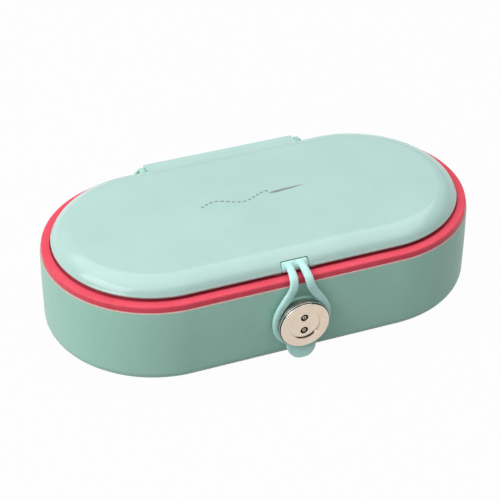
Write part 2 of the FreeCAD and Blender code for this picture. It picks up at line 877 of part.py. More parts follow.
# The legs of the loop from the pin, out over the band and down, seen from the left and above
def strap_legs():
    upper = strap_pin_z + strap_thickness / 2
    lower = strap_pin_z - strap_thickness / 2
    ribbon = prism(
        [
            (strap_pin_y, upper),
            (strap_front, upper, strap_bend_radius + strap_thickness),
            (strap_front, leg_foot),
            (strap_back, leg_foot),
            (strap_back, lower, strap_bend_radius),
            (strap_pin_y, lower),
        ],
        side, vec(-loop_radius, 0, 0), vec(2 * loop_radius, 0, 0),
    )
    inner_at_pin = leg_gap_at_pin / 2
    outer_at_pin = inner_at_pin + leg_width_at_pin
    inner = leg_gap / 2
    outer = inner + leg_width
    straight = -half_width
    legs = []
    for sign in (-1, 1):
        plan = [
            (sign * inner_at_pin, strap_pin_y),
            (sign * outer_at_pin, strap_pin_y),
            (sign * outer, straight),
            (sign * outer, strap_front - overrun),
            (sign * inner, strap_front - overrun),
            (sign * inner, straight),
        ]
        column = prism(plan, above, vec(0, 0, leg_foot - overrun), vec(0, 0, upper - leg_foot + 2 * overrun))
        legs.append(ribbon.common(column))
    return legs


# The keyhole-shaped loop that lies behind the stud's back plate
def strap_keyhole():
    inner = leg_gap / 2
    outer = inner + leg_width
    knee = leg_foot - leg_knee_drop
    hole_radius = loop_radius - loop_width
    join = math.pi / 6
    depth = vec(0, strap_thickness, 0)
    start = vec(0, strap_front, 0)

    def spread(radius, top, waist):
        out = radius * math.cos(join)
        up = stud_height + radius * math.sin(join)
        corners = [(-waist, top), (waist, top), (waist, knee, leg_knee_radius), (out, up), (-out, up),
                   (-waist, knee, leg_knee_radius)]
        disc = rod(vec(0, strap_front, stud_height), vec(0, 1, 0), radius, strap_thickness)
        return disc.fuse(prism(corners, across, start, depth))

    return spread(loop_radius, leg_foot, outer).cut(spread(hole_radius, leg_foot + overrun, inner))


# Pull tab under the loop, flared away from the case
def strap_tab():
    tab_top = stud_height - loop_radius + loop_width / 2
    tab_corner_radius = tab_corner_share * (tab_top - tab_lift)
    low = tab_half_width - tab_taper
    outline = prism(
        [(-tab_half_width, tab_top), (tab_half_width, tab_top), (low, tab_lift, tab_corner_radius),
         (-low, tab_lift, tab_corner_radius)],
        across, vec(0, strap_back + overrun, 0), vec(0, -(2 * overrun + strap_thickness), 0),
    )
    bend = tab_lift + tab_flare_share * (tab_top - tab_lift)
    profile = prism(
        [(strap_front, tab_top), (strap_front, bend, strap_thickness), (strap_front - tab_flare, tab_lift),
         (strap_back - tab_flare, tab_lift), (strap_back, bend, strap_thickness), (strap_back, tab_top)],
        side, vec(-loop_radius, 0, 0), vec(2 * loop_radius, 0, 0),
    )
    hole = rod(vec(0, strap_front - overrun, stud_height), vec(0, 1, 0),
               loop_radius - loop_width, 2 * overrun + strap_thickness)
    return outline.common(profile).cut(hole)


def make_strap_loop():
    half = window_half_width - strap_side_gap
    knuckle = rod(vec(-half, strap_pin_y, strap_pin_z), vec(1, 0, 0), strap_knuckle_radius, 2 * half)
    strap = knuckle.fuse(strap_legs() + [strap_keyhole(), strap_tab()])
    bore = rod(vec(-half, strap_pin_y, strap_pin_z), vec(1, 0, 0),
               strap_pin_radius + running_clearance, 2 * half)
    return one(strap.cut(bore))


pieces = {
    "base_shell": make_base_shell,
    "rim_tray": make_rim_tray,
    "tray_screws": make_tray_screws,
    "cross_dividers": make_cross_dividers,
    "long_divider": make_long_divider,
    "spool_rack": make_spool_rack,
    "hinge_pin": make_hinge_pin,
    "button_cap": make_button_cap,
    "button_stud": make_button_stud,
    "button_washer": make_button_washer,
    "button_screw": make_button_screw,
    "lid_shell": make_lid_shell,
    "lid_liner": make_lid_liner,
    "liner_screws": make_liner_screws,
    "needle_pad": make_needle_pad,
    "needle_pad_frame": make_needle_pad_frame,
    "tool_band": make_tool_band,
    "band_rivets": make_band_rivets,
    "strap_pin": make_strap_pin,
    "strap_loop": make_strap_loop,
}
for name, make in pieces.items():
    shape = make()
    print(name, len(shape.Solids), shape.isValid(), round(shape.Volume, 1))
    shape.exportStep("parts/" + name + ".step")
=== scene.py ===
import math

import bmesh
import bpy
from mathutils import Matrix, Vector


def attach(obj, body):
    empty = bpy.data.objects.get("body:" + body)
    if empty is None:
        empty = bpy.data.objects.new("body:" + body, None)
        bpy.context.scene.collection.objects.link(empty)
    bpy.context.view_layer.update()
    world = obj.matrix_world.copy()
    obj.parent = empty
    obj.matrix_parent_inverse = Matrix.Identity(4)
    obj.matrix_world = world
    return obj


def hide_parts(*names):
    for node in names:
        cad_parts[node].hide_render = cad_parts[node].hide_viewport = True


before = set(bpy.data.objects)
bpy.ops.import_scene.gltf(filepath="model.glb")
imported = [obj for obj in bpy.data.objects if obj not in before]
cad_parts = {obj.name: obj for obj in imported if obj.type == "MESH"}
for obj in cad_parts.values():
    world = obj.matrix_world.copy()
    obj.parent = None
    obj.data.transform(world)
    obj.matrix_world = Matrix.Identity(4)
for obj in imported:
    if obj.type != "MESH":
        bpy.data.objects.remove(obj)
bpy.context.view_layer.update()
print("frame: loaded", len(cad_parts), "nodes")

# Shapes are drawn in millimetres and made metres when a piece is finished. X runs along the
# case, the stud is at -Y and the case stands on Z = 0.
millimetre = 0.001
case = {
    "halfStraight": 48.2,   # from the middle to the centre of a round end
    "halfWidth": 50.8,
    "tubTop": 37.1,
    "ledge": 40.1,          # top of the coral band
    "lidBottom": 40.5,
    "lidTop": 48.0,
    "lidRadius": 45.6,
    "hingeY": 48.2,
    "hingeZ": 41.4,
    "hingeRadius": 2.9,
    "flapHalf": 36.5,
    "earInside": 37.9,
    "studZ": 20.1,
    "padFace": 51.9,        # how far forward the flat round pad stands
    "strapPinY": -44.0,
    "strapPinZ": 42.35,
    "trayFloor": 8.8,
    "linerBottom": 43.2,
    "endSteps": 72,         # points round each half-turned end
}


# Sums on sockets are written as expressions, every other node comes from Graph.add
class Wire:
    def __init__(self, graph, socket):
        self.graph = graph
        self.socket = socket

    def join(self, operation, *values):
        return self.graph.add("ShaderNodeMath", {"operation": operation}, dict(enumerate(values)))

    # This value under a function such as SINE, or with another under one such as MAXIMUM
    def under(self, operation, *others):
        return self.join(operation, self, *others)

    def __add__(self, other):
        return self.under("ADD", other)

    def __radd__(self, other):
        return self.join("ADD", other, self)

    def __sub__(self, other):
        return self.under("SUBTRACT", other)

    def __rsub__(self, other):
        return self.join("SUBTRACT", other, self)

    def __mul__(self, other):
        return self.under("MULTIPLY", other)

    def __rmul__(self, other):
        return self.join("MULTIPLY", other, self)

    def __truediv__(self, other):
        return self.under("DIVIDE", other)

    def __rtruediv__(self, other):
        return self.join("DIVIDE", other, self)

    def __gt__(self, other):
        return self.under("GREATER_THAN", other)

    def __lt__(self, other):
        return self.under("LESS_THAN", other)


class Graph:
    def __init__(self, tree):
        self.tree = tree

    # A node of a type: its settings come first, then the values or wires of its sockets
    def add(self, kind, settings=None, values=None, out=0):
        node = self.tree.nodes.new(kind)
        for key, value in (settings or {}).items():
            if key == "stops":
                ramp = node.color_ramp.elements
                while len(ramp) < len(value):
                    ramp.new(0.5)
                for stop, (place, colour) in zip(ramp, value):
                    stop.position = place
                    stop.color = colour
            else:
                setattr(node, key, value)
        for key, value in (values or {}).items():
            self.put(node.inputs[key], value)
        return Wire(self, node.outputs[out]) if node.outputs else None

    def put(self, socket, value):
        if isinstance(value, Wire):
            self.tree.links.new(value.socket, socket)
        else:
            socket.default_value = value

    def axis(self, place, letter):
        return self.add("ShaderNodeSeparateXYZ", None, {0: place}, out=letter)

    def noise(self, place, size, detail=2.0, roughness=0.5):
        return self.add("ShaderNodeTexNoise", None,
                        {"Vector": place, "Scale": 1 / (size * millimetre), "Detail": detail,
                         "Roughness": roughness}, out="Fac")

    def between(self, wire, low, high, newLow, newHigh):
        return self.add("ShaderNodeMapRange", None,
                        {0: wire, 1: low, 2: high, 3: newLow, 4: newHigh})

    def blend(self, share, first, second):
        return self.add("ShaderNodeMix", {"data_type": "RGBA"}, {0: share, 6: first, 7: second},
                        out=2)

    # Two tones that change over softly with a noise
    def tones(self, noise, first, second):
        return self.blend(self.between(noise, 0.3, 0.7, 0, 1), first, second)

    def bump(self, height, strength, depth, onto=None):
        values = {"Height": height, "Strength": strength, "Distance": depth * millimetre}
        if onto:
            values["Normal"] = onto
        return self.add("ShaderNodeBump", None, values)

    # What changes over a surface: its colour, roughness and normal
    def dress(self, colour=None, rough=None, normal=None):
        sockets = self.tree.nodes["Principled BSDF"].inputs
        for key, value in (("Base Color", colour), ("Roughness", rough), ("Normal", normal)):
            if value is not None:
                self.put(sockets[key], value)


def linked(name, data):
    piece = bpy.data.objects.new(name, data)
    bpy.context.scene.collection.objects.link(piece)
    return piece


def plainMesh(name, points, faces=(), edges=()):
    mesh = bpy.data.meshes.new(name)
    mesh.from_pydata([tuple(p) for p in points], edges, faces)
    mesh.update()
    return linked(name, mesh)


def remove(*pieces):
    for piece in pieces:
        mesh = piece.data
        bpy.data.objects.remove(piece)
        if not mesh.users:
            bpy.data.meshes.remove(mesh)


# Makes the modified shape the piece's own mesh and takes the modifiers off
def settle(piece):
    bpy.context.view_layer.update()
    shaped = piece.evaluated_get(bpy.context.evaluated_depsgraph_get())
    mesh = bpy.data.meshes.new_from_object(shaped, preserve_all_data_layers=True,
                                           depsgraph=bpy.context.evaluated_depsgraph_get())
    old = piece.data
    piece.modifiers.clear()
    piece.data = mesh
    if not old.users:
        bpy.data.meshes.remove(old)
    return piece


# Merges doubles and turns the faces outwards
def closed(piece, near=0.0005):
    cage = bmesh.new()
    cage.from_mesh(piece.data)
    bmesh.ops.remove_doubles(cage, verts=cage.verts, dist=near)
    bmesh.ops.dissolve_degenerate(cage, edges=cage.edges, dist=near)
    bmesh.ops.recalc_face_normals(cage, faces=cage.faces)
    if cage.calc_volume(signed=True) < 0:
        bmesh.ops.reverse_faces(cage, faces=cage.faces)
    cage.to_mesh(piece.data)
    cage.free()
    piece.data.update()
    return piece


def moved(piece, matrix):
    piece.data.transform(matrix)
    piece.data.update()
    return piece


def joined(name, pieces):
    cage = bmesh.new()
    for piece in pieces:
        cage.from_mesh(piece.data)
    mesh = bpy.data.meshes.new(name)
    cage.to_mesh(mesh)
    cage.free()
    remove(*pieces)
    return linked(name, mesh)


def combined(piece, tools, how):
    for tool in tools:
        cut = piece.modifiers.new(how, "BOOLEAN")
        cut.operation = how
        cut.object = tool
        cut.solver = "EXACT"
        closed(settle(piece))
    remove(*tools)
    return piece


# Rounds the edges that are sharper than an angle
def eased(piece, width, steps=3, degrees=35):
    ease = piece.modifiers.new("ease", "BEVEL")
    ease.width = width
    ease.segments = steps
    ease.limit_method = "ANGLE"
    ease.angle_limit = math.radians(degrees)
    ease.use_clamp_overlap = True
    ease.miter_outer = "MITER_ARC"
    return settle(piece)


# Points of an outline. Each corner is (a, b) or (a, b, radius).
def rounded(corners, steps=6, loop=False):
    count = len(corners)
    points = []
    for i, corner in enumerate(corners):
        here = Vector(corner[:2])
        inside = loop or 0 < i < count - 1
        if len(corner) < 3 or not inside:
            points.append(here)
            continue
        before = (Vector(corners[i - 1][:2]) - here).normalized()
        after = (Vector(corners[(i + 1) % count][:2]) - here).normalized()
        half = before.angle(after) / 2
        reach = corner[2] / math.tan(half)
        centre = here + (before + after).normalized() * corner[2] / math.sin(half)
        start = here + before * reach - centre
        turn = math.pi - 2 * half
        end = here + after * reach - centre
        side = 1 if start.x * end.y - start.y * end.x > 0 else -1
        for step in range(steps + 1):
            angle = side * turn * step / steps
            c, s = math.cos(angle), math.sin(angle)
            points.append(centre + Vector((start.x * c - start.y * s, start.x * s + start.y * c)))
    return points


def roundedPlate(halfX, halfY, corner, steps):
    return rounded([(-halfX, -halfY, corner), (halfX, -halfY, corner), (halfX, halfY, corner),
                    (-halfX, halfY, corner)], steps, loop=True)


def ellipseArc(centre, reach, rise, fromDegrees, toDegrees, steps):
    points = []
    for step in range(steps + 1):
        angle = math.radians(fromDegrees + (toDegrees - fromDegrees) * step / steps)
        points.append(Vector((centre[0] + reach * math.cos(angle),
                              centre[1] + rise * math.sin(angle))))
    return points


# A solid between sections of equal point count, with UVs in metres: along, then round
def loft(name, sections, capped=True, near=0.0005):
    count = len(sections[0])
    points = [p for section in sections for p in section]
    faces = []
    for i in range(len(sections) - 1):
        here, ahead = i * count, (i + 1) * count
        for j in range(count):
            following = (j + 1) % count
            faces.append((here + j, here + following, ahead + following, ahead + j))
    if capped:
        faces.append(tuple(reversed(range(count))))
        faces.append(tuple(range(len(points) - count, len(points))))
    piece = plainMesh(name, points, faces)
    layer = piece.data.uv_layers.new(name="along")
    along = [0.0]
    for first, second in zip(sections, sections[1:]):
        step = sum((Vector(b) - Vector(a)).length for a, b in zip(first, second)) / count
        along.append(along[-1] + step * millimetre)
    roundAt = [0.0]
    for j in range(count):
        step = (Vector(sections[0][(j + 1) % count]) - Vector(sections[0][j])).length
        roundAt.append(roundAt[-1] + step * millimetre)
    for face in piece.data.polygons:
        # a face that closes the round ends at the full length, not at zero
        closing = len(face.vertices) == 4 and count - 1 in [v % count for v in face.vertices]
        for corner in face.loop_indices:
            row, column = divmod(piece.data.loops[corner].vertex_index, count)
            layer.data[corner].uv = (along[row], roundAt[column or count * closing])
    return closed(piece, near)


# A bar along X with an outline of (y, z) points and eased ends
def barAlongX(name, outline, low, high, ease=0.35):
    def inset(amount):
        shrunk = []
        count = len(outline)
        for i, point in enumerate(outline):
            a = (point - outline[i - 1]).normalized()
            b = (outline[(i + 1) % count] - point).normalized()
            normal = Vector((-(a + b).y, (a + b).x)).normalized()
            miter = max(0.5, normal.dot(Vector((-a.y, a.x))))
            shrunk.append(point + normal * amount / miter)
        return shrunk

    area = sum(outline[i - 1].x * p.y - p.x * outline[i - 1].y for i, p in enumerate(outline))
    side = 1 if area > 0 else -1
    nearEnd, farEnd = [], []
    for degrees in (0, 30, 60, 90):
        back = ease * (1 - math.sin(math.radians(degrees)))
        along = ease * (1 - math.cos(math.radians(degrees)))
        row = inset(side * back)
        nearEnd.append([(low + along, p.x, p.y) for p in row])
        farEnd.insert(0, [(high - along, p.x, p.y) for p in row])
    return loft(name, nearEnd + farEnd)


def block(name, low, high, ease=0.0, steps=2):
    corners = [(x, y, z) for z in (low[2], high[2]) for y in (low[1], high[1])
               for x in (low[0], high[0])]
    faces = [(0, 2, 3, 1), (4, 5, 7, 6), (0, 1, 5, 4), (2, 6, 7, 3), (0, 4, 6, 2), (1, 3, 7, 5)]
    piece = plainMesh(name, corners, faces)
    return eased(piece, ease, steps) if ease else piece


# A Geometry Nodes tree with named inputs. Each tree has a finish as its last input.
def treeWith(name, sockets):
    tree = bpy.data.node_groups.new(name, "GeometryNodeTree")
    tree.interface.new_socket("Geometry", in_out="OUTPUT", socket_type="NodeSocketGeometry")
    sockets = dict(sockets, Finish="Material")
    for label, kind in sockets.items():
        tree.interface.new_socket(label, in_out="INPUT", socket_type="NodeSocket" + kind)
    graph = Graph(tree)
    return graph, {label: graph.add("NodeGroupInput", out=label) for label in sockets}


def treeEnd(graph, wires, shape):
    real = graph.add("GeometryNodeRealizeInstances", None, {"Geometry": shape})
    painted = graph.add("GeometryNodeSetMaterial", None,
                        {"Geometry": real, "Material": wires["Finish"]})
    graph.add("NodeGroupOutput", None, {0: painted})
    return graph.tree


def fromTree(piece, tree, values):
    modifier = piece.modifiers.new(tree.name, "NODES")
    modifier.node_group = tree
    for item in tree.interface.items_tree:
        if item.in_out == "INPUT" and item.name in values:
            modifier[item.identifier] = values[item.name]
    return settle(piece)


# One tree draws every ring of the case and every turned part
def makeRingTree():
    graph, wires = treeWith("ringSweep", {"Profile": "Geometry", "Half straight": "Float",
                                          "Path radius": "Float", "End steps": "Int"})
    steps, straight, radius = wires["End steps"], wires["Half straight"], wires["Path radius"]
    line = graph.add("GeometryNodeMeshLine", {"mode": "OFFSET"},
                     {"Count": 2 * steps, "Offset": (0, 0, 0)})
    index = graph.add("GeometryNodeInputIndex")
    second = index > steps - 0.5        # the far end comes after the near one
    angle = ((index + 0.5) / steps - 0.5) * math.pi
    x = straight * (1 - 2 * second) + radius * angle.under("COSINE")
    y = radius * angle.under("SINE")
    place = graph.add("ShaderNodeCombineXYZ", None, {0: x, 1: y})
    line = graph.add("GeometryNodeSetPosition", None, {"Geometry": line, "Position": place})
    path = graph.add("GeometryNodeMeshToCurve", None, {"Mesh": line})
    path = graph.add("GeometryNodeSetSplineCyclic", None, {"Geometry": path, "Cyclic": True})
    path = graph.add("GeometryNodeSetCurveNormal", {"mode": "Z_UP"}, {"Curve": path})
    # a swept profile hangs down, so it is turned over first
    profile = graph.add("GeometryNodeTransform", None,
                        {"Geometry": wires["Profile"], "Scale": (1, -1, 1)})
    profile = graph.add("GeometryNodeMeshToCurve", None, {"Mesh": profile})
    swept = graph.add("GeometryNodeCurveToMesh", None, {"Curve": path, "Profile Curve": profile})
    swept = graph.add("GeometryNodeMergeByDistance", None,
                      {"Geometry": swept, "Distance": 0.0008})
    return treeEnd(graph, wires, swept)


ringTree = makeRingTree()


def chain(name, points):
    return plainMesh(name, points, edges=[(i, i + 1) for i in range(len(points) - 1)])


# A shape whose section, as (distance out, height) points from one axis point to the next,
# goes round the case. With no straight part it is a turned part on the Z axis.
def ring(name, section, straight=case["halfStraight"], radius=case["halfWidth"],
         steps=case["endSteps"]):
    piece = chain(name, [(p[0] - radius, p[1], 0) for p in section])
    return closed(fromTree(piece, ringTree, {
        "Half straight": float(straight), "Path radius": float(radius), "End steps": steps}))


def turned(name, section, steps=49):
    return ring(name, section, 0.0, max(p[0] for p in section), steps)


# A turned part whose top faces the front, at the stud's height or so far above it
def turnedToFront(name, section, steps=49, above=0.0):
    front = Matrix.Translation((0, 0, case["studZ"])) @ Matrix.Rotation(math.pi / 2, 4, "X")
    return moved(moved(turned(name, section, steps), front), Matrix.Translation((0, 0, above)))


# A turned part laid along X from a place
def turnedAlongX(name, section, place, steps=49):
    return moved(turned(name, section, steps),
                 Matrix.Translation(place) @ Matrix.Rotation(math.pi / 2, 4, "Y"))


def rod(name, start, end, radius, steps=20):
    start, end = Vector(start), Vector(end)
    length = (end - start).length
    piece = turned(name, [(0, 0), (radius, 0), (radius, length), (0, length)], steps)
    turn = Vector((0, 0, 1)).rotation_difference(end - start).to_matrix().to_4x4()
    return moved(piece, Matrix.Translation(start) @ turn)


def rodAlongX(name, low, high, y, z, radius, steps=20):
    return rod(name, (low, y, z), (high, y, z), radius, steps)


# Copies of one part on points, each turned by a fixed angle and a random share of a spread
def makeCopiesTree():
    graph, wires = treeWith("placeCopies", {"Places": "Geometry", "Part": "Object",
                                            "Turn": "Float", "Turn spread": "Float", "Seed": "Int"})
    part = graph.add("GeometryNodeObjectInfo", None, {"Object": wires["Part"]}, out="Geometry")
    spread = graph.add("FunctionNodeRandomValue", {"data_type": "FLOAT"},
                       {2: 0 - wires["Turn spread"], 3: wires["Turn spread"],
                        "Seed": wires["Seed"]}, out=1)
    turn = graph.add("ShaderNodeCombineXYZ", None, {2: wires["Turn"] + spread})
    placed = graph.add("GeometryNodeInstanceOnPoints", None,
                       {"Points": wires["Places"], "Instance": part, "Rotation": turn})
    return treeEnd(graph, wires, placed)


copiesTree = makeCopiesTree()


def copiesOf(name, part, places, turn=0.0, spread=0.0, seed=1):
    piece = plainMesh(name, places)
    fromTree(piece, copiesTree, {"Part": part, "Turn": float(turn), "Turn spread": float(spread),
                                 "Seed": seed})
    remove(part)
    return piece


# A row of long beads along a path
def makeStitchTree():
    graph, wires = treeWith("stitchRow", {"Path": "Geometry", "Count": "Int", "Length": "Float",
                                          "Width": "Float", "Height": "Float"})
    path = graph.add("GeometryNodeMeshToCurve", None, {"Mesh": wires["Path"]})
    spots = graph.add("GeometryNodeCurveToPoints", {"mode": "COUNT"},
                      {"Curve": path, "Count": wires["Count"]})
    ball = graph.add("GeometryNodeMeshUVSphere", None,
                     {"Segments": 12, "Rings": 8, "Radius": 0.5})
    size = graph.add("ShaderNodeCombineXYZ", None,
                     {0: wires["Length"], 1: wires["Width"], 2: wires["Height"]})
    stitch = graph.add("GeometryNodeTransform", None, {"Geometry": ball, "Scale": size})
    tangent = Wire(graph, spots.socket.node.outputs["Tangent"])
    turn = graph.add("FunctionNodeAlignRotationToVector", {"axis": "X"}, {"Vector": tangent})
    placed = graph.add("GeometryNodeInstanceOnPoints", None,
                       {"Points": spots, "Instance": stitch, "Rotation": turn})
    return treeEnd(graph, wires, placed)


stitchTree = makeStitchTree()


def stitches(name, path, count, length, width, height):
    return fromTree(chain(name, path), stitchTree, {
        "Count": count, "Length": float(length), "Width": float(width), "Height": float(height)})


def openEdges(piece):
    cage = bmesh.new()
    cage.from_mesh(piece.data)
    count = sum(1 for edge in cage.edges if not edge.is_manifold)
    cage.free()
    return count


# Finishes a piece: metres, soft shading with sharp creases, material, body and the nodes
# of the frame it stands for
def finished(piece, material, body, stands=(), crease=32):
    moved(piece, Matrix.Scale(millimetre, 4))
    mesh = piece.data
    mesh.materials.clear()
    mesh.materials.append(material)
    for face in mesh.polygons:
        face.material_index = 0
    mesh.shade_smooth()
    mesh.set_sharp_from_angle(angle=math.radians(crease))
    even = piece.modifiers.new("even", "WEIGHTED_NORMAL")
    even.keep_sharp = True
    even.weight = 80
    settle(piece)
    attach(piece, body)
    if stands:
        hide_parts(*stands)
    print("piece:", piece.name, len(piece.data.polygons), "faces,", openEdges(piece), "open edges")
    return piece


# A material and what it needs: its graph and the place on the piece
def newMaterial(name, sockets):
    material = bpy.data.materials.new(name)
    material.use_nodes = True
    graph = Graph(material.node_tree)
    for key, value in sockets.items():
        graph.put(material.node_tree.nodes["Principled BSDF"].inputs[key], value)
    return material, graph, graph.add("ShaderNodeTexCoord", out="Object")


def rgb(red, green, blue):
    return (red, green, blue, 1.0)


# Moulded plastic: a slow cloudiness in the colour, a fine grain and a faint flow pattern
def mouldedPlastic(name, look):
    material, graph, place = newMaterial(name, look["sockets"])

    def along(letter):
        return graph.axis(place, letter) / millimetre

    cloud = graph.noise(place, look["cloudSize"], 3.0)
    speck = graph.noise(place, look["cloudSize"] / 9, 2.0)
    colour = graph.tones(cloud, look["dark"], look["light"])
    colour = graph.blend(graph.between(speck, 0.35, 0.75, 0, look["speck"]), colour,
                         look["fleck"])
    if "bandReflection" in look:       # a painted reflection: the coral band's pinkish reflection painted along the tub's top edge
        low, high, share = look["bandReflectionAt"]
        z = along("Z")
        reflectedBand = graph.between(z, low, high, 0, share) * (z < high + 0.2)
        colour = graph.blend(reflectedBand, colour, look["bandReflection"])
    if "paintedFoldShade" in look:      # painted shade: a soft darker band where the flap leaves the lid
        near, middle, far, half, share = look["paintedFoldShadeAt"]
        y = along("Y")
        dustAndShade = graph.between(y, near, middle, 0, share) * graph.between(y, middle, far, 1, 0)
        dustAndShade = dustAndShade * (along("X").under("ABSOLUTE") < half)
        colour = graph.blend(dustAndShade, colour, look["paintedFoldShade"])
    spread = look["roughSpread"]
    rough = graph.between(cloud, 0.25, 0.75, look["rough"] - spread, look["rough"] + spread)
    rough = rough + (speck - 0.5) * spread
    if "matt" in look:
        low, high, more = look["matt"]
        rough = rough + graph.between(along("Y"), low, high, 0, more)
    grain = graph.noise(place, look["grainSize"], 3.0, 0.6)
    ripple = graph.noise(place, look["rippleSize"], 1.0)
    normal = graph.bump(grain, look["grain"], look["grainDepth"])
    graph.dress(colour, rough, graph.bump(ripple, look["ripple"], look["rippleDepth"], normal))
    return material


tubLook = {
    "sockets": {"IOR": 1.48, "Specular IOR Level": 0.22},
    "dark": rgb(0.355, 0.625, 0.52), "light": rgb(0.39, 0.665, 0.56),
    "fleck": rgb(0.44, 0.7, 0.63), "speck": 0.25,
    # the pinkish tone and its heights paint the coral band's reflection on the tub's top edge
    "bandReflection": rgb(0.72, 0.42, 0.4), "bandReflectionAt": (36.6, 36.95, 0.75),
    "cloudSize": 26, "rough": 0.42, "roughSpread": 0.05,
    "grainSize": 0.22, "grain": 0.35, "grainDepth": 0.02,
    "rippleSize": 30, "ripple": 0.25, "rippleDepth": 0.12,
}
lidLook = {
    "sockets": {"IOR": 1.5, "Specular IOR Level": 0.42, "Coat Roughness": 0.03, "Coat IOR": 1.5,
                "Coat Weight": 0.07},
    "dark": rgb(0.405, 0.605, 0.565), "light": rgb(0.435, 0.64, 0.598),
    "fleck": rgb(0.475, 0.675, 0.63), "speck": 0.2,
    "matt": (37.5, 40.5, 0.45),         # the hinge side is left matt by the mould
    # a darker band painted where the flap leaves the lid, as painted shade
    "paintedFoldShade": rgb(0.3, 0.5, 0.46), "paintedFoldShadeAt": (37.0, 39.0, 41.6, 36.6, 0.42),
    "cloudSize": 34, "rough": 0.12, "roughSpread": 0.02,
    "grainSize": 0.5, "grain": 0.12, "grainDepth": 0.006,
    "rippleSize": 18, "ripple": 0.2, "rippleDepth": 0.06,
}
trayLook = {
    "sockets": {"IOR": 1.49, "Specular IOR Level": 0.15},
    "dark": rgb(0.72, 0.066, 0.106), "light": rgb(0.78, 0.085, 0.132),
    "fleck": rgb(0.84, 0.13, 0.17), "speck": 0.2,
    "cloudSize": 22, "rough": 0.3, "roughSpread": 0.04,
    "grainSize": 0.3, "grain": 0.25, "grainDepth": 0.012,
    "rippleSize": 16, "ripple": 0.25, "rippleDepth": 0.06,
}
linerLook = {
    "sockets": {"IOR": 1.48, "Specular IOR Level": 0.4},
    "dark": rgb(0.72, 0.76, 0.73), "light": rgb(0.78, 0.82, 0.79),
    "fleck": rgb(0.86, 0.88, 0.86), "speck": 0.3,
    "cloudSize": 24, "rough": 0.5, "roughSpread": 0.05,
    "grainSize": 0.35, "grain": 0.6, "grainDepth": 0.03,
    "rippleSize": 20, "ripple": 0.2, "rippleDepth": 0.05,
}
rackLook = dict(linerLook, dark=rgb(0.8, 0.78, 0.73), light=rgb(0.86, 0.84, 0.8), rough=0.38)
clearSockets = {"IOR": 1.46, "Transmission Weight": 0.4, "Specular IOR Level": 0.5}
dividerLook = dict(linerLook, sockets=clearSockets, dark=rgb(0.86, 0.89, 0.88),
                   light=rgb(0.92, 0.94, 0.93), rough=0.36, grain=0.15, grainDepth=0.006)
tubPlastic = mouldedPlastic("tubPlastic", tubLook)
lidPlastic = mouldedPlastic("lidPlastic", lidLook)
trayPlastic = mouldedPlastic("trayPlastic", trayLook)
linerPlastic = mouldedPlastic("linerPlastic", linerLook)
rackPlastic = mouldedPlastic("rackPlastic", rackLook)
dividerPlastic = mouldedPlastic("dividerPlastic", dividerLook)

# Silicone rubber: waxy, a little light passes under its skin, with fine dust and soft unevenness
siliconeLook = {
    "sockets": {"IOR": 1.43, "Specular IOR Level": 0.4, "Subsurface Weight": 0.25,
                "Subsurface Radius": (0.6, 0.9, 0.8), "Subsurface Scale": 0.0012,
                "Sheen Weight": 0.12, "Sheen Roughness": 0.4},
    "deep": rgb(0.48, 0.79, 0.755), "pale": rgb(0.57, 0.85, 0.82),
    "dustAndShade": rgb(0.8, 0.92, 0.9), "dustShare": 0.5, "rough": 0.42, "roughSpread": 0.25,
}


def makeSilicone():
    look = siliconeLook
    material, graph, place = newMaterial("strapSilicone", look["sockets"])
    cloud = graph.noise(place, 6, 3.0)
    dustAndShade = graph.noise(place, 0.5, 4.0, 0.7)
    colour = graph.tones(cloud, look["deep"], look["pale"])
    colour = graph.blend(graph.between(dustAndShade, 0.62, 0.8, 0, look["dustShare"]), colour,
                         look["dustAndShade"])
    skin = graph.bump(graph.noise(place, 0.35, 3.0, 0.6), 0.3, 0.02)
    graph.dress(colour, look["rough"] + (dustAndShade - 0.5) * look["roughSpread"],
                graph.bump(graph.noise(place, 5, 1.0), 0.3, 0.08, skin))
    return material


# Nickel plate on the stud: fine turning marks round the stud's axis, a few dull spots,
# painted shade in its hollows and a painted highlight on its rim. Each range runs from no
# painted shade to full, in millimetres.
nickelLook = {
    "warm": rgb(0.68, 0.56, 0.44), "pale": rgb(0.74, 0.64, 0.53), "dull": rgb(0.55, 0.45, 0.36),
    # a near-black tone for painted shade in the hollows and a pale tone for a painted highlight on
    # the rim
    "recess": rgb(0.05, 0.045, 0.045), "edge": rgb(0.93, 0.9, 0.86), "rough": 0.17,
    "dullShare": 0.4, "marksPerMetre": 9000.0,
    "holes": (-56.62, -56.2), "holesInside": 6.6,
    "wall": (-57.5, -57.4), "wallFrom": 6.8, "wallTo": 7.3,
    "wallSide": (0.139, 0.99), "wallSideFrom": (5.0, 6.0),     # only the low side is in shade
    "neck": (-57.24, -57.16), "neckBehind": -56.8, "neckOutside": 10.7,
    "back": (-55.72, -55.55), "backShare": 0.9, "backOutside": 7.3,
    # a bright ring painted on the rim as a highlight
    "paintedRimHighlight": (10.92, 11.08), "rimHighlightShare": 0.8,
}


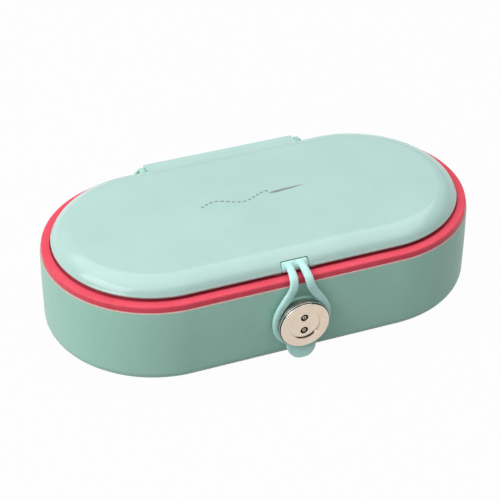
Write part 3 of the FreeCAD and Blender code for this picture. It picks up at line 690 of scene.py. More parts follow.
def makeNickel():
    look = nickelLook
    material, graph, place = newMaterial("studNickel", {"Metallic": 1.0})
    x, y = graph.axis(place, "X"), graph.axis(place, "Y") / millimetre
    z = graph.axis(place, "Z") - case["studZ"] * millimetre
    out = (x * x + z * z).under("SQRT")
    marks = graph.add("ShaderNodeTexNoise", {"noise_dimensions": "1D"},
                      {"W": out, "Scale": look["marksPerMetre"], "Detail": 3.0,
                       "Roughness": 0.6}, out="Fac")
    cloud = graph.noise(place, 3.5, 4.0, 0.6)
    spot = graph.noise(place, 0.7, 3.0, 0.7)
    colour = graph.tones(cloud, look["warm"], look["pale"])
    colour = graph.blend(graph.between(spot, 0.66, 0.8, 0, look["dullShare"]), colour,
                         look["dull"])
    out = out / millimetre
    # painted shade: the holes, the dish's low wall, the neck groove and the back plate's side are
    # painted dark
    holes = graph.between(y, *look["holes"], 0, 1) * (out < look["holesInside"])
    right, down = look["wallSide"]
    wall = graph.between(y, *look["wall"], 0, 1)
    wall = wall * (out > look["wallFrom"]) * (out < look["wallTo"])
    wall = wall * graph.between((x * right - z * down) / millimetre, *look["wallSideFrom"], 0, 1)
    neck = graph.between(y, *look["neck"], 0, 1)
    neck = neck * (y < look["neckBehind"]) * (out > look["neckOutside"])
    back = graph.between(y, *look["back"], 0, look["backShare"]) * (out > look["backOutside"])
    shade = holes.under("MAXIMUM", wall.under("MAXIMUM", neck.under("MAXIMUM", back)))
    colour = graph.blend(shade, colour, look["recess"])
    # a bright ring painted on the rim as a highlight
    paintedRimHighlight = graph.between(out, *look["paintedRimHighlight"], 0, look["rimHighlightShare"]) * (1 - shade)
    colour = graph.blend(paintedRimHighlight, colour, look["edge"])
    graph.dress(colour, look["rough"] + (cloud - 0.5) * 0.14 + (marks - 0.5) * 0.1,
                graph.bump(cloud, 0.12, 0.05, graph.bump(marks, 0.12, 0.004)))
    return material


# Zinc-plated screws and drawn wire. The drawn lines run long where a factor is small.
def makeSteel(name, tint, rough, drawn):
    material, graph, place = newMaterial(name, {"Metallic": 1.0})
    stretched = graph.add("ShaderNodeMapping", None, {"Vector": place, "Scale": drawn})
    lines = graph.noise(stretched, 0.12, 3.0, 0.6)
    cloud = graph.noise(place, 1.6, 4.0, 0.6)
    dark = rgb(*(0.78 * c for c in tint[:3]))
    graph.dress(graph.tones(cloud, dark, tint),
                rough + (lines - 0.5) * 0.16 + (cloud - 0.5) * 0.1, graph.bump(lines, 0.2, 0.01))
    return material


# Wool felt: matted short fibres in a slow cloud of tone
feltLook = {
    "sockets": {"Roughness": 0.95, "Specular IOR Level": 0.15, "Sheen Weight": 0.35,
                "Sheen Roughness": 0.6},
    "cream": rgb(0.78, 0.7, 0.58), "pale": rgb(0.86, 0.8, 0.69), "shade": rgb(0.62, 0.54, 0.43),
    "fibresPerMetre": 1900.0, "twist": 1.6,
}


def makeFelt():
    look = feltLook
    material, graph, place = newMaterial("padFelt", look["sockets"])
    fibre = graph.add("ShaderNodeTexNoise", None,
                      {"Vector": place, "Scale": look["fibresPerMetre"], "Detail": 4.0,
                       "Roughness": 0.65, "Distortion": look["twist"]}, out="Fac")
    colour = graph.tones(graph.noise(place, 9, 3.0), look["cream"], look["pale"])
    colour = graph.blend(graph.between(fibre, 0.3, 0.5, 0.7, 0), colour, look["shade"])
    graph.dress(colour, normal=graph.bump(fibre, 0.7, 0.25))
    return material


# Elastic webbing: ribs along the band, a fine pick across it, rubber showing between them
elasticLook = {
    "sockets": {"Roughness": 0.8, "Specular IOR Level": 0.25, "Sheen Weight": 0.25,
                "Sheen Roughness": 0.5},
    "yarn": rgb(0.74, 0.08, 0.13), "bright": rgb(0.86, 0.16, 0.2), "gap": rgb(0.4, 0.03, 0.06),
    "ribWidth": 0.0011, "pickWidth": 0.0006,
}


def makeElastic():
    look = elasticLook
    material, graph, place = newMaterial("bandElastic", look["sockets"])
    rib = (graph.axis(place, "Y") * (2 * math.pi / look["ribWidth"])).under("SINE")
    pick = (graph.axis(place, "X") * (2 * math.pi / look["pickWidth"])).under("SINE")
    weave = rib * 0.35 + 0.5 + rib * pick * 0.15
    fuzz = graph.noise(place, 0.25, 3.0, 0.7)
    colour = graph.blend(weave, look["gap"], look["yarn"])
    colour = graph.blend(graph.between(fuzz, 0.5, 0.75, 0, 0.6), colour, look["bright"])
    graph.dress(colour, normal=graph.bump(weave + fuzz * 0.3, 0.8, 0.22))
    return material


# Pad-printed ink and sewing thread
def makeInk(name, first, second, size, rough):
    material, graph, place = newMaterial(name, {"Specular IOR Level": 0.4})
    cloud = graph.noise(place, size, 3.0, 0.6)
    graph.dress(graph.tones(cloud, first, second), rough + (cloud - 0.5) * 0.2,
                graph.bump(graph.noise(place, size / 6, 2.0), 0.4, size / 60))
    return material


strapSilicone = makeSilicone()
studNickel = makeNickel()
screwSteel = makeSteel("screwSteel", rgb(0.6, 0.6, 0.62), 0.3, (1, 1, 0.2))
wireSteel = makeSteel("wireSteel", rgb(0.66, 0.66, 0.66), 0.26, (0.05, 1, 1))
padFelt = makeFelt()
bandElastic = makeElastic()
markInk = makeInk("markInk", rgb(0.2, 0.22, 0.22), rgb(0.26, 0.28, 0.28), 1.5, 0.4)
padThread = makeInk("padThread", rgb(0.72, 0.09, 0.14), rgb(0.84, 0.16, 0.2), 0.4, 0.7)
print("materials: made")


def fourPlaces(x, y):
    return [(sx * x, sy * y) for sx in (-1, 1) for sy in (-1, 1)]


# The tub with the hinge's ears and shelf, the pad for the stud and wells for the tray's screws
tub = {
    "footRadius": 5.0, "wall": 2.4, "floor": 2.4, "innerRadius": 2.4,
    "leanAt": (20.0, 24.0, 28.0, 31.0, 34.0), "lean": 0.3,      # above 20 the wall leans in
    "footDraft": 0.05, "innerDraft": (0.2, 0.3), "topOuterEase": 0.35, "topInnerEase": 0.3,
    "shelfFront": 45.0, "shelfBack": 50.1, "shelfTop": 37.92, "shelfThickness": 2.0,
    "shelfEase": 0.25, "gussetThickness": 2.0, "gussetDrop": 9.0, "gussetSink": 1.0,
    "gussetStart": 0.3, "gussetBite": 0.8, "gussetSkin": 1.2, "gussetEase": 0.2,
    "earBack": 50.7, "earFront": 45.7, "earTop": 43.9, "earPeakWidth": 0.9, "earFoot": 44.0,
    "earEase": 0.35, "collarFrom": 37.3, "collarSink": 0.4, "collarRadius": 2.3,
    "wireHole": 1.24,
    "studPadRadius": 10.6, "studPadEase": 0.35, "studPadRoot": 2.0,
    "innerPadRadius": 5.5, "innerPadFace": 47.98, "innerPadRoot": 1.5, "studHole": 1.6,
    "wellRadius": 2.9, "wellDepth": 2.41, "wellWall": 2.2, "wellRoot": 1.2, "wellTop": 4.7,
    "screwHole": 1.6, "screwX": 66.73, "screwY": 18.53,
}
screwPlaces = fourPlaces(tub["screwX"], tub["screwY"])


# An ear is a rounded tongue, cut to a slope on its outer side
def makeEar(side, foot):
    low, high = sorted((side * case["earInside"], side * tub["earFoot"]))
    corner = (tub["earBack"] - tub["earFront"]) / 2 - 0.05
    front, back, top = tub["earFront"], tub["earBack"], tub["earTop"]
    tongue = rounded([(front, foot), (front, top, corner), (back, top, corner), (back, foot)], 8,
                     loop=True)
    inside, peak = case["earInside"] - 1, case["earInside"] + tub["earPeakWidth"]
    lean = [(inside, foot - 1), (tub["earFoot"], foot - 1), (tub["earFoot"], tub["shelfTop"]),
            (peak, top), (peak, top + 2), (inside, top + 2)]
    slope = loft("slope", [[(side * a, y, b) for a, b in lean]
                           for y in (case["hingeY"] - 9, case["hingeY"] + 9)])
    ear = combined(barAlongX("ear", tongue, low, high, 0.0), [slope], "INTERSECT")
    return eased(ear, tub["earEase"], 3, 40)


def makeTub():
    top, out, floor = case["tubTop"], case["halfWidth"], tub["floor"]
    inner, start = out - tub["wall"], tub["leanAt"][0]
    wall = [(out - tub["lean"] * ((z - start) / (top - start)) ** 2, z) for z in tub["leanAt"]]
    draftTop, draftFoot = tub["innerDraft"]
    piece = ring("tub", rounded([
        (0, 0), (out - tub["footDraft"], 0, tub["footRadius"]), *wall,
        (out - tub["lean"], top, tub["topOuterEase"]),
        (inner - draftTop, top, tub["topInnerEase"]),
        (inner - draftFoot, floor, tub["innerRadius"]), (0, floor)], steps=9))
    end, shelfTop = tub["earFoot"], tub["shelfTop"]
    added = [block("shelf", (-end, tub["shelfFront"], shelfTop - tub["shelfThickness"]),
                   (end, tub["shelfBack"], shelfTop), tub["shelfEase"])]
    high = shelfTop - tub["gussetSink"]
    low, skin = high - tub["gussetDrop"], out - tub["gussetSkin"]
    gusset = [Vector(p) for p in ((tub["shelfFront"] + tub["gussetStart"], high),
                                  (inner - tub["gussetBite"], low), (skin, low), (skin, high))]
    for side in (-1, 1):
        ends = sorted(side * (case["earInside"] + deep) for deep in (0, tub["gussetThickness"]))
        added += [barAlongX("gusset", gusset, *ends, tub["gussetEase"]), makeEar(side, high)]
        ends = sorted((side * tub["collarFrom"], side * (case["earInside"] + tub["collarSink"])))
        added.append(rodAlongX("collar", *ends, case["hingeY"], case["hingeZ"],
                               tub["collarRadius"]))
    face, pad, innerPad = case["padFace"], tub["studPadRadius"], tub["innerPadRadius"]
    root, innerRoot = face - tub["studPadRoot"], face - tub["innerPadRoot"]
    added += [
        turnedToFront("pad", rounded([(0, root), (pad, root), (pad, face, tub["studPadEase"]),
                                      (0, face)])),
        turnedToFront("innerPad", [(0, tub["innerPadFace"]), (innerPad, tub["innerPadFace"]),
                                   (innerPad, innerRoot), (0, innerRoot)])]
    added += [rod("boss", (x, y, tub["wellRoot"]), (x, y, tub["wellTop"]),
                  tub["wellRadius"] + tub["wellWall"]) for x, y in screwPlaces]
    combined(piece, added, "UNION")
    cuts = [rodAlongX("wireHole", -50, 50, case["hingeY"], case["hingeZ"], tub["wireHole"]),
            rod("studHole", (0, -60, case["studZ"]), (0, -40, case["studZ"]), tub["studHole"])]
    for x, y in screwPlaces:
        cuts += [rod("well", (x, y, -1), (x, y, tub["wellDepth"]), tub["wellRadius"]),
                 rod("hole", (x, y, -1), (x, y, 9), tub["screwHole"])]
    combined(piece, cuts, "DIFFERENCE")
    finished(piece, tubPlastic, "root", ["base_shell"])


makeTub()

# The tray with the coral band, its divider ribs and the bosses its screws hold
tray = {
    # a channel runs under the lid's edge
    "moatOuter": 45.98, "moatDepth": 1.1, "moatDraft": 0.1, "moatEase": 0.2, "moatRadius": 0.3,
    "rimRadius": 49.95, "edgeRadius": 0.9, "underEase": 0.2, "wallRadius": 0.3,
    "floorBottom": 7.0, "wall": 1.6,
    "innerTop": 41.0, "innerFoot": 40.2, "cornerOuter": 3.0, "cornerInner": 2.2,
    "lipTop": 42.0, "lipEase": 0.5, "rootRadius": 0.5, "innerBend": 3.0,
    "reach": 42.1, "backFace": 44.7, "strapRoom": 10.4, "strapFace": -39.4,
    "dividerTop": 36.5, "dividerX": 42.1, "slot": 0.95, "ribWidth": 1.5, "ribDepth": 1.6,
    "ribEase": 0.3, "sink": 0.9, "bossRadius": 3.5, "bossBottom": 4.7,
}


def makeTray():
    ledge, floor, moat = case["ledge"], case["trayFloor"], tray["moatOuter"]
    lipOuter, under = tray["innerTop"] + tray["wall"], case["tubTop"]
    moatFloor = ledge - tray["moatDepth"]
    piece = ring("tray", rounded([
        (0, tray["floorBottom"]),
        (tray["innerFoot"] + tray["wall"], tray["floorBottom"], tray["cornerOuter"]),
        (lipOuter, under, tray["wallRadius"]), (tray["rimRadius"], under, tray["underEase"]),
        (tray["rimRadius"], ledge, tray["edgeRadius"]), (moat, ledge, tray["moatEase"]),
        (moat - tray["moatDraft"], moatFloor, tray["moatRadius"]),
        (lipOuter, moatFloor, tray["rootRadius"]),
        (lipOuter, tray["lipTop"], tray["lipEase"]),
        (tray["innerTop"], tray["lipTop"], tray["lipEase"]),
        (tray["innerTop"], ledge, tray["innerBend"]),
        (tray["innerFoot"], floor, tray["cornerInner"]), (0, floor)], steps=8))
    added = []
    inner, outer = tray["innerFoot"] - tray["ribDepth"], tray["innerFoot"] + tray["wall"] / 2
    for place in (-tray["dividerX"], tray["dividerX"]):
        for x in (place - tray["slot"] - tray["ribWidth"], place + tray["slot"]):
            for y in (inner, -outer):
                added.append(block("rib", (x, y, floor - tray["sink"]),
                                   (x + tray["ribWidth"], y + outer - inner, tray["dividerTop"]),
                                   tray["ribEase"]))
    added += [rod("boss", (x, y, tray["bossBottom"]), (x, y, floor - tray["sink"]),
                  tray["bossRadius"]) for x, y in screwPlaces]
    combined(piece, added, "UNION")
    reach, room = tray["reach"], tray["strapRoom"]
    cuts = [block("back", (-reach, tray["backFace"], 30), (reach, 60, 46)),
            block("front", (-room, -60, ledge), (room, tray["strapFace"], 46))]
    combined(piece, cuts, "DIFFERENCE")
    finished(piece, trayPlastic, "root", ["rim_tray"])


makeTray()

# The lid with its wide soft edge, the hinge flap and the window for the strap
lid = {
    "edgeReach": 9.5, "crown": 0.45, "bottomEase": 1.5, "wall": 2.0, "innerTop": 46.0,
    "innerBend": 7.0, "innerEase": 0.3, "edgeSteps": 41, "edgeDegrees": 2.2,
    "flapTop": 44.3, "flapRoot": 43.9, "heelRadius": 1.2, "flapEase": 0.3, "flapLeft": 37.1,
    "rootLine": [(43.9, 43.4), (42.0, 44.6), (39.4, 45.9)],     # the flap's hidden end
    "web": [(39.4, 46.9), (43.6, 44.9), (49.0, 44.3)],          # the hollow down to the flap
    "windowHalf": 6.4, "windowHeight": 4.87, "windowEase": 0.7, "windowBack": -36.6,
    "cheekWidth": 3.0, "cheekRadius": 2.4, "cheekSkin": 0.4, "cheekEdge": 0.6,
    "pinHole": 0.82, "wireHole": 1.25,
    "bossRadius": 3.0, "bossX": 68.38, "bossY": 24.05, "linerTop": 44.4,
}


def lidTopSection():
    reach, bottom = lid["edgeReach"], case["lidBottom"]
    crown, rise = case["lidRadius"] - reach, case["lidTop"] - bottom
    points = [Vector((crown * i / 6, 0)) for i in range(6)]
    points += [Vector((crown + reach * math.sin(math.radians(lid["edgeDegrees"] * i)), 0))
               for i in range(lid["edgeSteps"])]
    for p in points:
        share = max(0.0, (p.x - crown) / reach)
        fall = lid["crown"] * (p.x / crown) ** 2
        p.y = bottom + (rise - fall) * math.sqrt(max(0.0, 1 - share * share))
    return points


def lidSection():
    outer, bottom, ease = case["lidRadius"], case["lidBottom"], lid["bottomEase"]
    inner, bend = outer - lid["wall"], lid["innerBend"]
    # the dome ends where the lower edge's round begins
    points = [p for p in lidTopSection() if p.y > bottom + ease * 1.4]
    points += ellipseArc((outer - ease, bottom + ease), ease, ease, 0, -90, 4)
    points += rounded([(outer - ease, bottom), (inner, bottom, lid["innerEase"]),
                       (inner, bottom + 1)], 3)[1:-1]
    points += ellipseArc((inner - bend, bottom), bend, lid["innerTop"] - bottom, 8, 90, 14)
    return points + [Vector((0, lid["innerTop"]))]


def flapOutline():
    y, z, radius, heel = case["hingeY"], case["hingeZ"], case["hingeRadius"], lid["heelRadius"]
    corner = ellipseArc((y + radius - heel, lid["flapTop"] - heel), heel, heel, 90, 0, 6)
    roll = ellipseArc((y, z), radius, radius, 0, -180, 18)
    root = [Vector(p) for p in [(lid["flapRoot"], z)] + lid["rootLine"]]
    first, bend, last = (Vector(p) for p in lid["web"])
    web = [first * (1 - t) ** 2 + bend * 2 * t * (1 - t) + last * t * t
           for t in (step / 8 for step in range(9))]
    return corner + roll + root + web


def makeLid():
    piece = ring("lid", lidSection())
    bottom = case["lidBottom"]
    # the cheeks for the strap's pin stay inside the lid's outer skin
    deep, edge = lid["cheekSkin"], case["lidRadius"] - lid["cheekEdge"]
    skin = [p - Vector((deep if p.x > 1 else 0, deep)) for p in reversed(lidTopSection())
            if p.y > bottom + 1]
    solid = ring("solid", [Vector((0, bottom)), Vector((edge, bottom))] + skin)
    end = lid["windowHalf"] + lid["cheekWidth"]
    pin = case["strapPinY"], case["strapPinZ"]
    cheeks = combined(rodAlongX("cheeks", -end, end, *pin, lid["cheekRadius"], 32), [solid],
                      "INTERSECT")
    added = [cheeks, barAlongX("flap", flapOutline(), -lid["flapLeft"], case["flapHalf"],
                               lid["flapEase"])]
    added += [rod("boss", (x, y, lid["linerTop"]), (x, y, lid["innerTop"] + 1), lid["bossRadius"])
              for x, y in fourPlaces(lid["bossX"], lid["bossY"])]
    combined(piece, added, "UNION")
    half, top, ease = lid["windowHalf"], bottom + lid["windowHeight"], lid["windowEase"]
    outline = rounded([(-half, 30), (half, 30), (half, top, ease), (-half, top, ease)], 6,
                      loop=True)
    cuts = [loft("window", [[(p.x, y, p.y) for p in outline] for y in (-60, lid["windowBack"])]),
            rodAlongX("pinHole", -end, end, *pin, lid["pinHole"]),
            rodAlongX("wireHole", -45, 45, case["hingeY"], case["hingeZ"], lid["wireHole"])]
    combined(piece, cuts, "DIFFERENCE")
    finished(piece, lidPlastic, "lid", ["lid_shell"], crease=28)


makeLid()

# The lining of the lid
liner = {"out": 36.0, "thickness": 1.2, "top": 44.4, "rimTop": 45.98, "corner": 0.9,
         "footRadius": 0.4}


def makeLiner():
    z, out, inner = case["linerBottom"], liner["out"], liner["out"] - liner["thickness"]
    piece = ring("liner", rounded([
        (0, z), (out, z, liner["corner"]), (out, liner["rimTop"]), (inner, liner["rimTop"]),
        (inner, liner["top"], liner["footRadius"]), (0, liner["top"])], 5))
    finished(piece, linerPlastic, "lid", ["lid_liner"])


makeLiner()

# Screws: radius and height of the head, radius and length of the shank
screws = {"liner": (1.9, 1.2, 1.0, 3.8), "tray": (2.5, 1.6, 1.3, 5.4), "pitch": 0.45,
          "spread": 0.8,     # each screw stops at its own turn
          # shares of the head's radius, its height and the shank's radius
          "armLength": 0.55, "armWidth": 0.16, "armDepth": 0.55, "dome": 0.55, "threadRoot": 0.84}


# A screw on the Z axis with its head down at zero, a cross recess in it and a threaded shank
def makeScrew(name, headRadius, headHeight, shank, length):
    dome = headHeight * screws["dome"]
    head = turned("head", rounded([(0, -headHeight), (headRadius, -headHeight, dome),
                                   (headRadius, 0, 0.12), (0, 0)], 5), 25)
    root = shank * screws["threadRoot"]
    section = [(0, -0.1), (shank * 0.86, -0.1)]
    turns = int(length / screws["pitch"])
    for i in range(turns):
        start = 0.1 + i * length / turns
        section += [(root, start), (shank, start + 0.2), (root, start + 0.36)]
    thread = turned("thread", section + [(shank * 0.3, length), (0, length)], 17)
    arm, wide = headRadius * screws["armLength"], headRadius * screws["armWidth"]
    low, high = -headHeight - 1, -headHeight + headHeight * screws["armDepth"]
    cross = [block("arm", (-x, -y, low), (x, y, high)) for x, y in ((arm, wide), (wide, arm))]
    return joined(name, [combined(head, cross, "DIFFERENCE"), thread])


def makeScrews():
    for name, body, node, places, z, turn, seed in (
            ("liner", "lid", "liner_screws", fourPlaces(lid["bossX"], lid["bossY"]),
             case["linerBottom"], 0.3, 4),
            ("tray", "root", "tray_screws", screwPlaces, tub["wellDepth"], 0.1, 7)):
        part = makeScrew("screw", *screws[name])
        row = copiesOf(name + "Screws", part, [(x, y, z) for x, y in places], turn,
                       screws["spread"], seed)
        finished(row, screwSteel, body, [node])


makeScrews()

# Hinge wire and the strap's pin: radius, end radius and length
pins = {"wire": (1.2, 0.35, 79.0), "strap": (0.8, 0.2, 18.0)}


def makePins():
    for name, kind, y, z, body, node, detail, steps in (
            ("hingeWire", "wire", case["hingeY"], case["hingeZ"], "root", "hinge_pin", 4, 49),
            ("strapPin", "strap", case["strapPinY"], case["strapPinZ"], "lid", "strap_pin", 3, 25)):
        radius, ease, length = pins[kind]
        section = rounded([(0, 0), (radius, 0, ease), (radius, length, ease), (0, length)], detail)
        piece = turnedAlongX(name, section, (-length / 2, y, z), steps)
        finished(piece, wireSteel, body, [node])


makePins()

# The stud: a dished cap with two thread holes on a back plate with a post
stud = {
    "capRadius": 11.53, "capBack": 55.84, "capFront": 57.54, "faceRadius": 11.2, "faceEase": 0.3,
    "step": 0.5, "grooveDepth": 0.35, "grooveEase": 0.05, "grooveHalf": 0.1, "bead": 0.12,
    "rimEase": 0.28,                                        # the rim is wider than the face
    "dishRadius": 6.9, "dishDepth": 0.8, "dishEase": 0.14, "dishSlope": 0.12,
    "holeOffset": 3.36, "holeRadius": 1.65, "holeEase": 0.35, "holeFloor": 55.05,
    "rivetRadius": 0.95, "rivetTop": 56.5, "rivetEase": 0.3, "rivetBore": 0.36, "boreDepth": 0.7,
    "plateRadius": 11.45, "plateBack": 54.74, "plateFront": 55.62, "plateEase": 0.4,
    "postRadius": 3.6,
}


def makeStud():
    front, floor, back = stud["capFront"], stud["capFront"] - stud["dishDepth"], stud["capBack"]
    under, neck = front - stud["step"], stud["faceRadius"] - stud["grooveDepth"]
    fine, half, bead = stud["grooveEase"], stud["grooveHalf"], stud["bead"]
    cap = turnedToFront("studCap", rounded([
        (0, floor), (stud["dishRadius"], floor, bead),
        (stud["dishRadius"] + stud["dishSlope"], front, stud["dishEase"]),
        (stud["faceRadius"], front, stud["faceEase"]),
        (stud["faceRadius"] - 0.05, under + bead, fine),
        (neck, under + half, fine), (neck, under - half, fine),
        (stud["capRadius"], under - half, stud["rimEase"]),
        (stud["capRadius"], back + bead, stud["rimEase"]),
        (neck, back + bead, fine), (neck, back), (0, back)], 6), 97)
    ease = stud["plateEase"]
    plate = turnedToFront("studPlate", rounded([
        (0, case["padFace"]), (stud["postRadius"], case["padFace"]),
        (stud["postRadius"], stud["plateBack"], ease),
        (stud["plateRadius"], stud["plateBack"], ease),
        (stud["plateRadius"], stud["plateFront"], ease), (neck, stud["plateFront"], fine),
        (neck, back), (0, back)], 6), 97)
    radius, ease, deep = stud["holeRadius"], stud["holeEase"], stud["holeFloor"]
    hole = [(0, deep), (radius, deep), (radius, floor - ease)]
    hole += [(radius + ease * (1 - math.cos(a)), floor - ease + ease * math.sin(a))
             for a in (math.radians(15 * i) for i in range(1, 7))]
    hole = [Vector(p) for p in hole + [(radius + ease, 60), (0, 60)]]
    for piece in (cap, plate):
        cuts = [turnedToFront("hole", hole, 33, side * stud["holeOffset"]) for side in (-1, 1)]
        combined(piece, cuts, "DIFFERENCE")
    # a small rivet stands in each hole
    radius, bore, top = stud["rivetRadius"], stud["rivetBore"], stud["rivetTop"]
    rivet = rounded([(0, deep - 0.05), (radius, deep - 0.05), (radius, top, stud["rivetEase"]),
                     (bore, top, bead), (bore, top - stud["boreDepth"]),
                     (0, top - stud["boreDepth"])], 6)
    combined(plate, [turnedToFront("rivet", rivet, 25, side * stud["holeOffset"])
                     for side in (-1, 1)], "UNION")
    finished(cap, studNickel, "root", ["button_cap"])
    finished(plate, studNickel, "root", ["button_stud"])


makeStud()

# The silicone strap: cross-bar, two legs, a ring round the post and a pull tab
strap = {
    "thickness": 2.2, "square": 3.0,
    # the strap from the side, as (y, z): off the pin, over the band and straight down
    "side": [(-43.9, 44.15), (-46.4, 43.6), (-49.5, 42.75), (-52.2, 41.0), (-53.3, 38.2),
             (-53.3, 35.0)],
    "ringRadius": 11.65, "ringWidth": 3.5, "ringFrom": 17.0, "ringFull": 26.0,
    "legWidth": 3.75, "barLegWidth": 3.1, "barLegLength": 7.0,
    # distance of a leg from the middle: first along the strap, then by height on the wall
    "legsOver": [(0.0, 2.8), (3.0, 2.9), (6.0, 3.1), (9.0, 3.4)],
    "legsDown": [(38.0, 3.95), (36.5, 4.55), (35.0, 5.3), (33.5, 6.2), (32.0, 7.2), (30.0, 8.5),
                 (28.0, 9.7), (26.0, 10.7), (24.0, 11.35), (22.2, 11.62)],
    "tabHalf": 7.1, "tabFoot": 6.7, "tabCorner": 6.0, "tabTop": 8.9, "tabLow": 1.4,
    "tabSquare": 3.6, "tabEdge": 1.1, "flareFrom": 9.2, "flare": 2.6, "flareEase": 1.2,
    # half the bar's length, and the share of its outline left towards an end
    "barHalf": 6.05, "barEnds": [(-1, 0.86), (-0.985, 0.93), (-0.95, 0.97), (-0.9, 1)],
    "bar": [(-43.1, 40.75), (-44.7, 40.75), (-45.5, 41.2), (-45.42, 42.4), (-44.76, 43.6),
            (-43.97, 44.47), (-43.35, 44.98), (-42.75, 45.02), (-42.1, 44.3), (-42.1, 41.6)],
    "bore": 0.85, "voxel": 0.24, "smoothing": 6,
}


# A smooth line through points
def smoothLine(points, steps):
    line = []
    for i in range(len(points) - 1):
        a, b = points[i], points[i + 1]
        before = points[i - 1] if i else a + (a - b)
        after = points[i + 2] if i + 2 < len(points) else b + (b - a)
        for step in range(steps):
            t = step / steps
            line.append(0.5 * (2 * a + (b - before) * t
                               + (2 * before - 5 * a + 4 * b - after) * t * t
                               + (3 * a - before - 3 * b + after) * t ** 3))
    line.append(points[-1])
    return line


# The way from the point before a point to one after it
def heading(line, i, ahead=1):
    return line[min(i + ahead, len(line) - 1)] - line[max(i - 1, 0)]


sideLine = smoothLine([Vector(p) for p in strap["side"]], 12)
sideAlong = [0.0]
for near, far in zip(sideLine, sideLine[1:]):
    sideAlong.append(sideAlong[-1] + (far - near).length)


# A point of the strap: so far across, so far along it and so far out of its middle
def strapPoint(across, s, out):
    if s < sideAlong[-1]:
        i = max(k for k in range(len(sideAlong) - 1) if sideAlong[k] <= max(s, 0.0))
        share = (s - sideAlong[i]) / (sideAlong[i + 1] - sideAlong[i])
        ahead = heading(sideLine, i, 2).normalized()
        place = sideLine[i].lerp(sideLine[i + 1], share) + Vector((ahead.y, -ahead.x)) * out
        return (across, place.x, place.y)
    height = sideLine[-1].y - (s - sideAlong[-1])
    place, outwards = Vector((sideLine[-1].x, height)), Vector((-1, 0))
    below = strap["flareFrom"] - height
    if below > 0:       # the tab leans away from the case
        lean = strap["flare"] / (strap["flareFrom"] - strap["tabLow"])
        place.x -= lean * (below * below / (below + strap["flareEase"]))
        outwards = Vector((-1, -lean * 0.9)).normalized()
    place += outwards * out
    return (across, place.x, place.y)


# Distance along the strap at which its middle is at a height on the front wall
def strapAt(height):
    if height > sideLine[-1].y:
        return min(zip((abs(p.y - height) for p in sideLine), sideAlong))[1]
    return sideAlong[-1] + sideLine[-1].y - height


# A section between a rectangle and an ellipse
def softSection(halfWidth, halfThickness, count=28, square=strap["square"]):
    points = []
    for i in range(count):
        angle = 2 * math.pi * (i + 0.5) / count
        c, s = math.cos(angle), math.sin(angle)
        points.append((halfWidth * math.copysign(abs(c) ** (2 / square), c),
                       halfThickness * math.copysign(abs(s) ** (2 / square), s)))
    return points


# One cord runs from the bar down a leg, round the post and up the other leg
def makeLoop():
    middle, radius = strapAt(case["studZ"]), strap["ringRadius"]
    right = [Vector((u, s)) for s, u in strap["legsOver"]]
    right += [Vector((u, strapAt(height))) for height, u in strap["legsDown"]]
    # the ring passes under the stud's post
    arc = [Vector((radius * math.cos(a), middle + radius * math.sin(a)))
           for a in (math.radians(-2 + 8 * i) for i in range(24))]
    left = [Vector((-p.x, p.y)) for p in reversed(right)]
    line = smoothLine(right + arc + left, 5)
    barWidth, legWidth, ringWidth = strap["barLegWidth"], strap["legWidth"], strap["ringWidth"]
    sections = []
    for i, point in enumerate(line):
        ahead = heading(line, i)
        normal = Vector((-ahead.y, ahead.x)).normalized()
        width = barWidth + (legWidth - barWidth) * min(1.0, point.y / strap["barLegLength"])
        share = (point.y - strap["ringFrom"]) / (strap["ringFull"] - strap["ringFrom"])
        width += (ringWidth - legWidth) * min(1.0, max(0.0, share))
        row = [(point + normal * w, h) for w, h in softSection(width / 2, strap["thickness"] / 2)]
        sections.append([strapPoint(flat.x, flat.y, h) for flat, h in row])
    return loft("loop", sections)


# The pull tab: sections across the strap, narrowing round its lower corners
def makeTab():
    top, low, corner = strap["tabTop"], strap["tabLow"], strap["tabCorner"]
    sections = []
    for i in range(41):
        height = top - (top - low) * (1 - (1 - i / 40) ** 1.8)
        down = (top - height) / (top - low)
        width = strap["tabHalf"] + (strap["tabFoot"] - strap["tabHalf"]) * down
        inCorner = max(0.0, low + corner - height)
        width -= corner - math.sqrt(max(0.0, corner ** 2 - inCorner ** 2))
        thin = min(1.0, (height - low + 0.02) / strap["tabEdge"])
        thick = strap["thickness"] / 2 * math.sqrt(max(0.02, 1 - (1 - thin) ** 2))
        row = softSection(max(width, 0.4), thick, 32, strap["tabSquare"])
        sections.append([strapPoint(w, strapAt(height), h) for w, h in row])
    return loft("tab", sections)


def makeStrap():
    outline = [Vector(p) for p in strap["bar"]]
    middle = sum(outline, Vector((0, 0))) / len(outline)
    ends = strap["barEnds"] + [(-x, share) for x, share in reversed(strap["barEnds"])]
    bar = [[(x * strap["barHalf"], *middle.lerp(p, share)) for p in outline] for x, share in ends]
    piece = joined("strap", [makeLoop(), makeTab(), loft("bar", bar)])
    fuse = piece.modifiers.new("fuse", "REMESH")
    fuse.mode = "VOXEL"
    fuse.voxel_size = strap["voxel"]
    soften = piece.modifiers.new("soften", "SMOOTH")
    soften.factor = 0.5
    soften.iterations = strap["smoothing"]
    settle(piece)
    bore = rodAlongX("bore", -9, 9, case["strapPinY"], case["strapPinZ"], strap["bore"])
    combined(piece, [bore], "DIFFERENCE")
    finished(piece, strapSilicone, "strap", ["strap_loop"], crease=60)


makeStrap()
print("stage: case, stud and strap made")

# The dividers, each with a cut for a fingertip in its top edge
divider = {"thickness": 1.6, "x": 42.1, "y": 12.0, "top": 36.5, "foot": 39.9, "shoulder": 40.5,
           "fingerRadius": 9.0, "fingerDepth": 6.0, "shoulderRadius": 1.6, "ease": 0.35,
           "footCorner": 2.4, "longCorner": 0.5, "gap": 0.3,
           "slot": 0.95, "ribWidth": 1.5, "ribDepth": 1.6, "ribSink": 0.1, "ribEase": 0.25}


